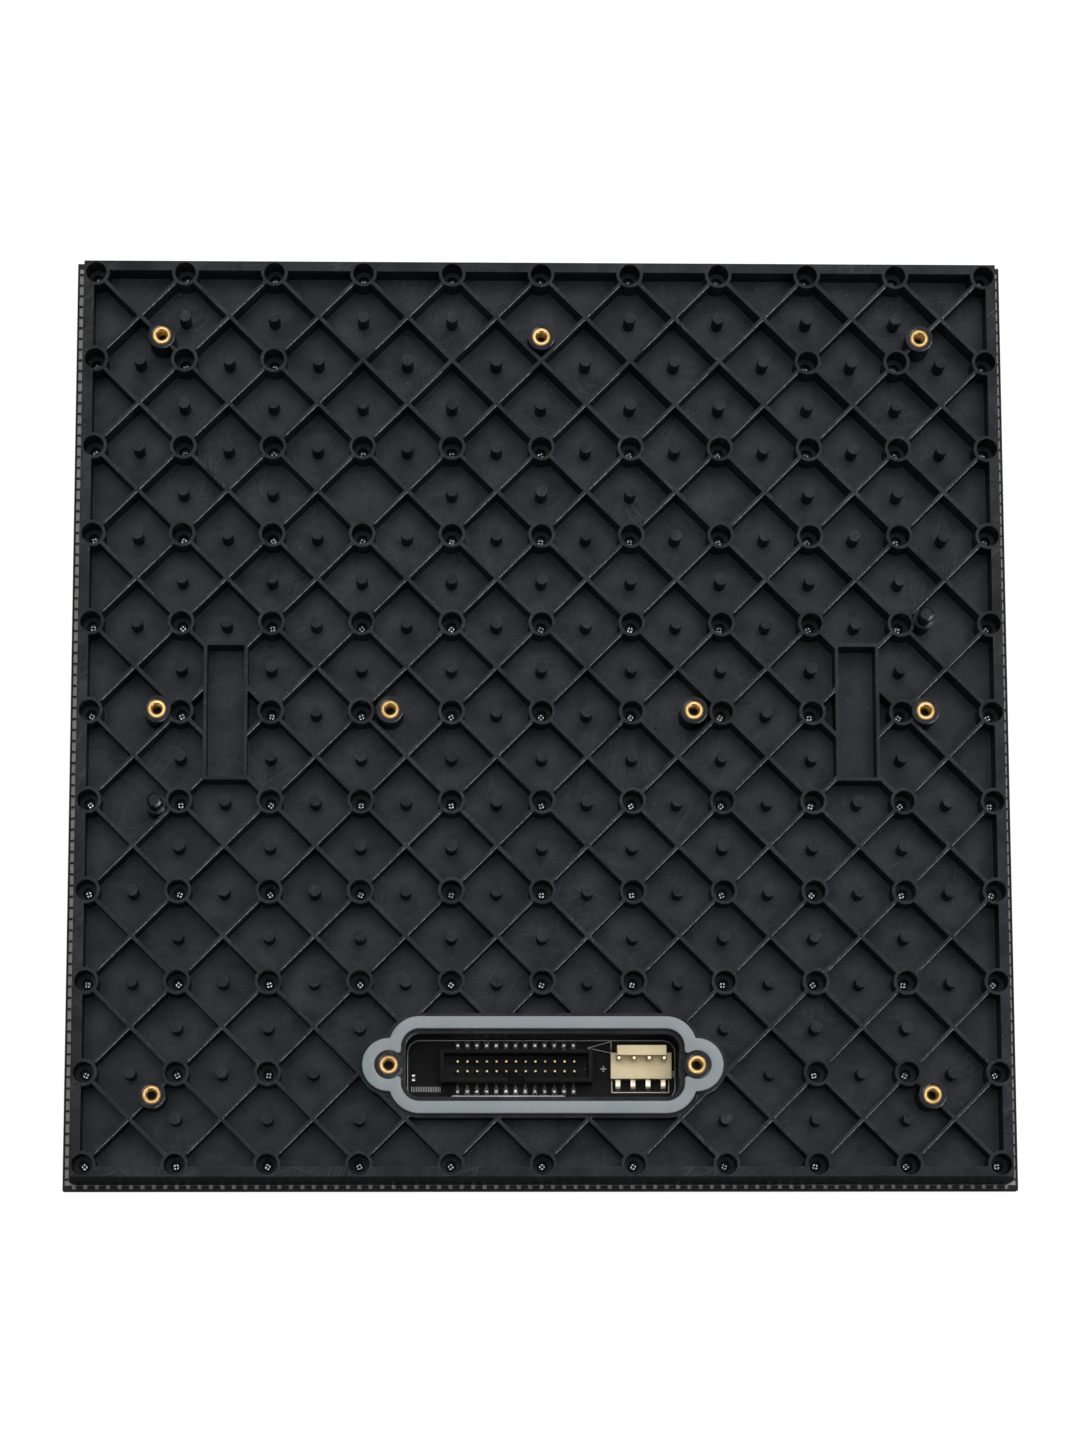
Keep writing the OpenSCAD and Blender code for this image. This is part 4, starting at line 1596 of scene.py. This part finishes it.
@dataclass
class BoardPrint(Piece):
    """The white print on the board in the connector bay: lines, an arrow, and plus and minus marks."""

    plan: ModulePlan
    ink_t: float = 0.02 * MM
    line_w: float = 0.22 * MM
    bold: float = 1.6
    heavy: float = 1.4
    thin: float = 0.7
    fine: float = 0.6
    clip: float = 0.3
    ring_inset: float = 0.4 * MM
    ring_r: float = 3.2 * MM
    ring_steps: int = 6
    bay_w: float = 71.2 * MM
    bay_h: float = 16.4 * MM
    underline_y: float = -0.35 * MM
    underline_x: Pair = (-1.2 * MM, -2.6 * MM)
    frame_x: Pair = (0.45 * MM, -0.5 * MM)
    frame_y: Pair = (-0.2 * MM, 0.3 * MM)
    arrow: Triple = (3.4 * MM, -1.5 * MM, 0.0)
    arrow_back: tuple[Triple, Triple] = ((6.2 * MM, 1.7 * MM, 0.0), (6.2 * MM, -1.3 * MM, 0.0))
    plus: Pair = (-1.75 * MM, -1.2 * MM)
    minus: Pair = (0.75 * MM, -2.5 * MM)
    mark: float = 1.6 * MM
    ticks: int = 18
    tick_start: Pair = (-34.1 * MM, -99.2 * MM)
    tick_pitch: float = 0.44 * MM
    tick_l: float = 1.4 * MM

    slot = "board_laminate"
    wears = (Finishes.ink,)

    def patch(self, name: str, wide: float, tall: float, corner: float, steps: int) -> Solid:
        """Starts a mark as a flat patch, which is left in edit mode with all of it selected.

        Args:
            name: name of the patch.
            wide: its size along X.
            tall: its size along Y.
            corner: how far its corners are cut.
            steps: steps of the rounding, one for a clipped corner.

        Returns:
            The patch, at the origin.
        """
        Bench.rest()
        bpy.ops.mesh.primitive_plane_add(size=1.0)
        patch = Bench.settle(name)
        patch.data.transform(Matrix.Diagonal((wide, tall, 1.0, 1.0)))
        Bench.pick(patch, lambda face: True)
        bpy.ops.mesh.bevel(offset=corner, segments=steps, affect="VERTICES")
        bpy.ops.mesh.select_all(action="SELECT")
        return patch

    def printed(self, patch: Solid, place: Matrix) -> Solid:
        """Gives a patch the thickness of the ink and moves it to its place.

        Args:
            patch: patch in edit mode.
            place: place and turn on the board.

        Returns:
            The printed mark.
        """
        bpy.ops.mesh.select_all(action="SELECT")
        Bench.push(up(self.ink_t))
        Bench.close_up()
        patch.data.transform(place)
        return patch

    def ring(self) -> Solid:
        """Prints the line that follows the wall of the bay.

        Returns:
            The line.
        """
        wide, tall = (size - 2 * self.ring_inset for size in (self.bay_w, self.bay_h))
        line = self.patch("ring", wide, tall, self.ring_r, self.ring_steps)
        bpy.ops.mesh.inset(thickness=self.fine * self.line_w, depth=0)
        bpy.ops.mesh.delete(type="FACE")
        return self.printed(line, Matrix.Translation((0, self.plan.bay_y(), self.plan.board_back)))

    def stroke(self, start: Vector, end: Vector, weight: float = 1.0) -> Solid:
        """Prints a straight line with clipped ends.

        Args:
            start: first end on the board.
            end: other end on the board.
            weight: width, in widths of a plain line.

        Returns:
            The line.
        """
        way = end - start
        width = weight * self.line_w
        line = self.patch("stroke", way.length, width, self.clip * width, 1)
        turn = Matrix.Rotation(math.atan2(way.y, way.x), 4, "Z")
        return self.printed(line, Matrix.Translation((start + end) / 2) @ turn)

    def spot(self, x: float, y: float) -> Vector:
        """Gives a place on the board."""
        return Vector((x, y, self.plan.board_back))

    def strokes(self) -> list[tuple[Vector, Vector, float]]:
        """Lists the straight lines of the print.

        Returns:
            Both ends and the weight of each line.
        """
        pins_low, pins_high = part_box("signal_header_pins")
        wafer_low, wafer_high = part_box("power_header_housing")
        wafer_y = (wafer_low.y + wafer_high.y) / 2
        below = pins_low.y + self.underline_y
        from_x, to_x = pins_low.x + self.underline_x[0], pins_high.x + self.underline_x[1]
        left, right = wafer_low.x + self.frame_x[0], wafer_high.x + self.frame_x[1]
        foot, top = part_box("power_header_pins")[0].y + self.frame_y[0], wafer_low.y + self.frame_y[1]
        tip = self.spot(pins_high.x, pins_high.y) + Vector(self.arrow)
        upper, lower = (tip + Vector(way) for way in self.arrow_back)
        plus = self.spot(wafer_low.x + self.plus[0], wafer_y + self.plus[1])
        minus = self.spot(wafer_high.x + self.minus[0], wafer_y + self.minus[1])
        across, tall = Vector((self.mark / 2, 0, 0)), back(self.mark / 2)
        lines = [
            (self.spot(from_x, below), self.spot(to_x, below), self.bold),
            (self.spot(left, top), self.spot(left, foot), 1.0),
            (self.spot(left, foot), self.spot(right, foot), 1.0),
            (self.spot(right, top), self.spot(right, foot), 1.0),
            (tip, upper, self.thin),
            (tip, lower, self.thin),
            (upper, lower, self.thin),
            (plus - across, plus + across, self.heavy),
            (plus - tall, plus + tall, self.heavy),
            (minus - tall, minus + tall, self.heavy),
        ]
        tick_x, tick_y = self.tick_start
        for k in range(self.ticks):
            x = tick_x + k * self.tick_pitch
            lines.append((self.spot(x, tick_y), self.spot(x, tick_y + self.tick_l), self.fine))
        return lines

    def build(self) -> Solid:
        """Prints every mark of the bay.

        Returns:
            The print as one piece.
        """
        marks = [self.stroke(*line) for line in self.strokes()]
        marks.insert(-self.ticks, self.ring())
        return Bench.gather("bay_board_print", marks)


@dataclass
class PackedPieces:
    """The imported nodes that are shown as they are."""

    bare: float = 0.4 * MM

    def dress(self, wardrobe: Wardrobe) -> None:
        """Puts a finish on each of them.

        Args:
            wardrobe: what the finishes come from.
        """
        board = BoardFinish(
            "board_solder_mask", tone(0.0045, 0.0048, 0.005), tone(0.01, 0.0105, 0.0105),
            tone(0.42, 0.41, 0.38), border=-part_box("rear_shell")[0].x - self.bare,
        )
        for node, finish in {
            "rear_shell": Finishes.shell,
            "front_mask": Finishes.mask,
            "circuit_board": board,
            "driver_chips": Finishes.epoxy,
            "row_switch_chips": Finishes.epoxy,
            "signal_buffer_chips": Finishes.epoxy,
            "memory_chip": Finishes.epoxy,
            "bulk_capacitors": Finishes.tantalum,
            "bypass_capacitors": Finishes.ceramic,
            "current_resistors": Finishes.glaze,
            "termination_resistors": Finishes.glaze,
        }.items():
            wardrobe.dress_node(node, finish)
            LOG.info("%s: %s", node, finish.name)


@dataclass(frozen=True)
class SoftBox:
    """A soft box of the studio: place and size of its front, its power in watts and what it looks at."""

    name: str
    place: Triple
    size: Pair
    power: float
    aim: Triple = (0.0, 0.0, 0.0)

    def hang(self) -> None:
        """Hangs the soft box."""
        place = Vector(self.place)
        Bench.rest()
        bpy.ops.object.light_add(type="AREA", location=place)
        light = bpy.context.view_layer.objects.active
        light.name = self.name
        light.data.shape = "RECTANGLE"
        light.data.size, light.data.size_y = self.size
        light.data.energy = self.power
        light.rotation_euler = (Vector(self.aim) - place).to_track_quat("-Z", "Y").to_euler()


@dataclass
class Studio:
    """Floor, light and camera of the picture."""

    plan: ModulePlan
    floor_half: float = 3.0
    floor_drop: float = 0.2 * MM
    floor_seen: Colour = grey(0.9)
    floor_thrown: Colour = grey(0.1)
    floor_roughness: float = 0.9
    floor_specular: float = 0.1
    glow: float = 1.12
    glow_share: float = 0.85
    boxes: tuple[SoftBox, ...] = (
        SoftBox("key_box", (0.35, 0.37, 1.0), (1.8, 1.26), 18.8, (0.35, 0.37, 0.0)),
        SoftBox("right_strip", (0.95, -0.95, 0.5), (0.12, 0.6), 2.5),
        SoftBox("left_strip", (-0.95, -0.95, 0.5), (0.12, 0.6), 1.0),
        SoftBox("back_strip", (0.95, 0.95, 0.5), (0.12, 0.6), 1.5),
    )
    air: Colour = tone(0.95, 0.97, 1.0)
    air_level: float = 0.06
    air_mirrored: float = 0.12
    eye: Triple = (-0.03, -0.195, 1.1186)
    aim: Pair = (-0.00053, -0.0024)
    roll: float = 0.0022
    lens: float = 141.4
    sensor: float = 36.0
    sight: float = 20.0

    def floor(self) -> None:
        """Lays the pale floor, which looks white, keeps the module's shadow and throws little light back."""
        Bench.rest()
        bpy.ops.mesh.primitive_plane_add(size=2 * self.floor_half, location=up(-self.floor_drop))
        floor = Bench.settle("studio_floor")
        material, graph, shader = Finish().sheet("studio_white")
        glow = graph.add("ShaderNodeEmission", Color=grey(1.0), Strength=self.glow)
        seen = graph.add("ShaderNodeLightPath").outputs["Is Camera Ray"]
        graph.wire(
            shader,
            Base_Color=graph.blend(seen, self.floor_thrown, self.floor_seen),
            Roughness=self.floor_roughness,
            Specular_IOR_Level=self.floor_specular,
        )
        share = graph.times(seen, self.glow_share)
        mixed = graph.add("ShaderNodeMixShader", at0=share, at1=shader.outputs[0], at2=glow.outputs[0])
        graph.wire(graph.tree.nodes["Material Output"], Surface=mixed.outputs[0])
        floor.data.materials.append(material)

    def light(self) -> None:
        """Hangs a wide soft box over the top half and dim strips at the sides, in dim air."""
        for box in self.boxes:
            box.hang()
        world = bpy.data.worlds.new("studio_air")
        bpy.context.scene.world = world
        world.use_nodes = True
        graph = Graph(world.node_tree)
        rays = graph.add("ShaderNodeLightPath").outputs
        mirrored = graph.times(rays["Is Glossy Ray"], self.air_mirrored)
        level = graph.math("MAXIMUM", mirrored, self.air_level)
        strength = graph.math("MAXIMUM", level, rays["Is Camera Ray"])
        graph.wire(graph.tree.nodes["Background"], Color=self.air, Strength=strength)

    def camera(self) -> None:
        """Sets the camera at the photograph's viewing angle, with the module's top edge level."""
        eye = Vector(self.eye)
        ahead = (Vector((*self.aim, self.plan.rim)) - eye).normalized()
        upward = Vector((math.sin(self.roll), math.cos(self.roll), 0))
        right = ahead.cross(upward).normalized()
        turn = Matrix((right, right.cross(ahead), -ahead)).transposed()
        Bench.rest()
        bpy.ops.object.camera_add(location=eye, rotation=turn.to_euler())
        camera = bpy.context.view_layer.objects.active
        camera.name = "photo_camera"
        camera.data.sensor_fit = "HORIZONTAL"
        camera.data.sensor_width = self.sensor
        camera.data.lens = self.lens
        camera.data.clip_end = self.sight
        bpy.context.scene.camera = camera

    def build(self) -> None:
        """Sets the whole stage."""
        self.floor()
        self.light()
        self.camera()
        bpy.context.scene.view_settings.view_transform = "Standard"


def main() -> None:
    """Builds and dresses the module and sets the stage."""
    logging.basicConfig(level=logging.INFO, format="%(name)s %(message)s")
    plan = ModulePlan.measured()
    wardrobe = Wardrobe()
    PackedPieces().dress(wardrobe)
    pins = SignalPins(plan)
    for part in (
        LampField(plan),
        ScrewSet(plan),
        InsertSet(plan),
        pins,
        PowerPins(),
        RoundedMoulding(Moulding.GASKET, radius=0.3 * MM, slot="gasket_rubber", wears=(Finishes.gasket,)),
        SignalHousing(),
        RoundedMoulding(Moulding.WAFER, radius=0.45 * MM, slot="wafer_plastic", wears=(Finishes.wafer,)),
        BayResistor(),
        SolderJoints(pins),
        BoardPrint(plan),
    ):
        part.dress(part.build(), wardrobe)
    Studio(plan).build()


if __name__ == "__main__":
    main()
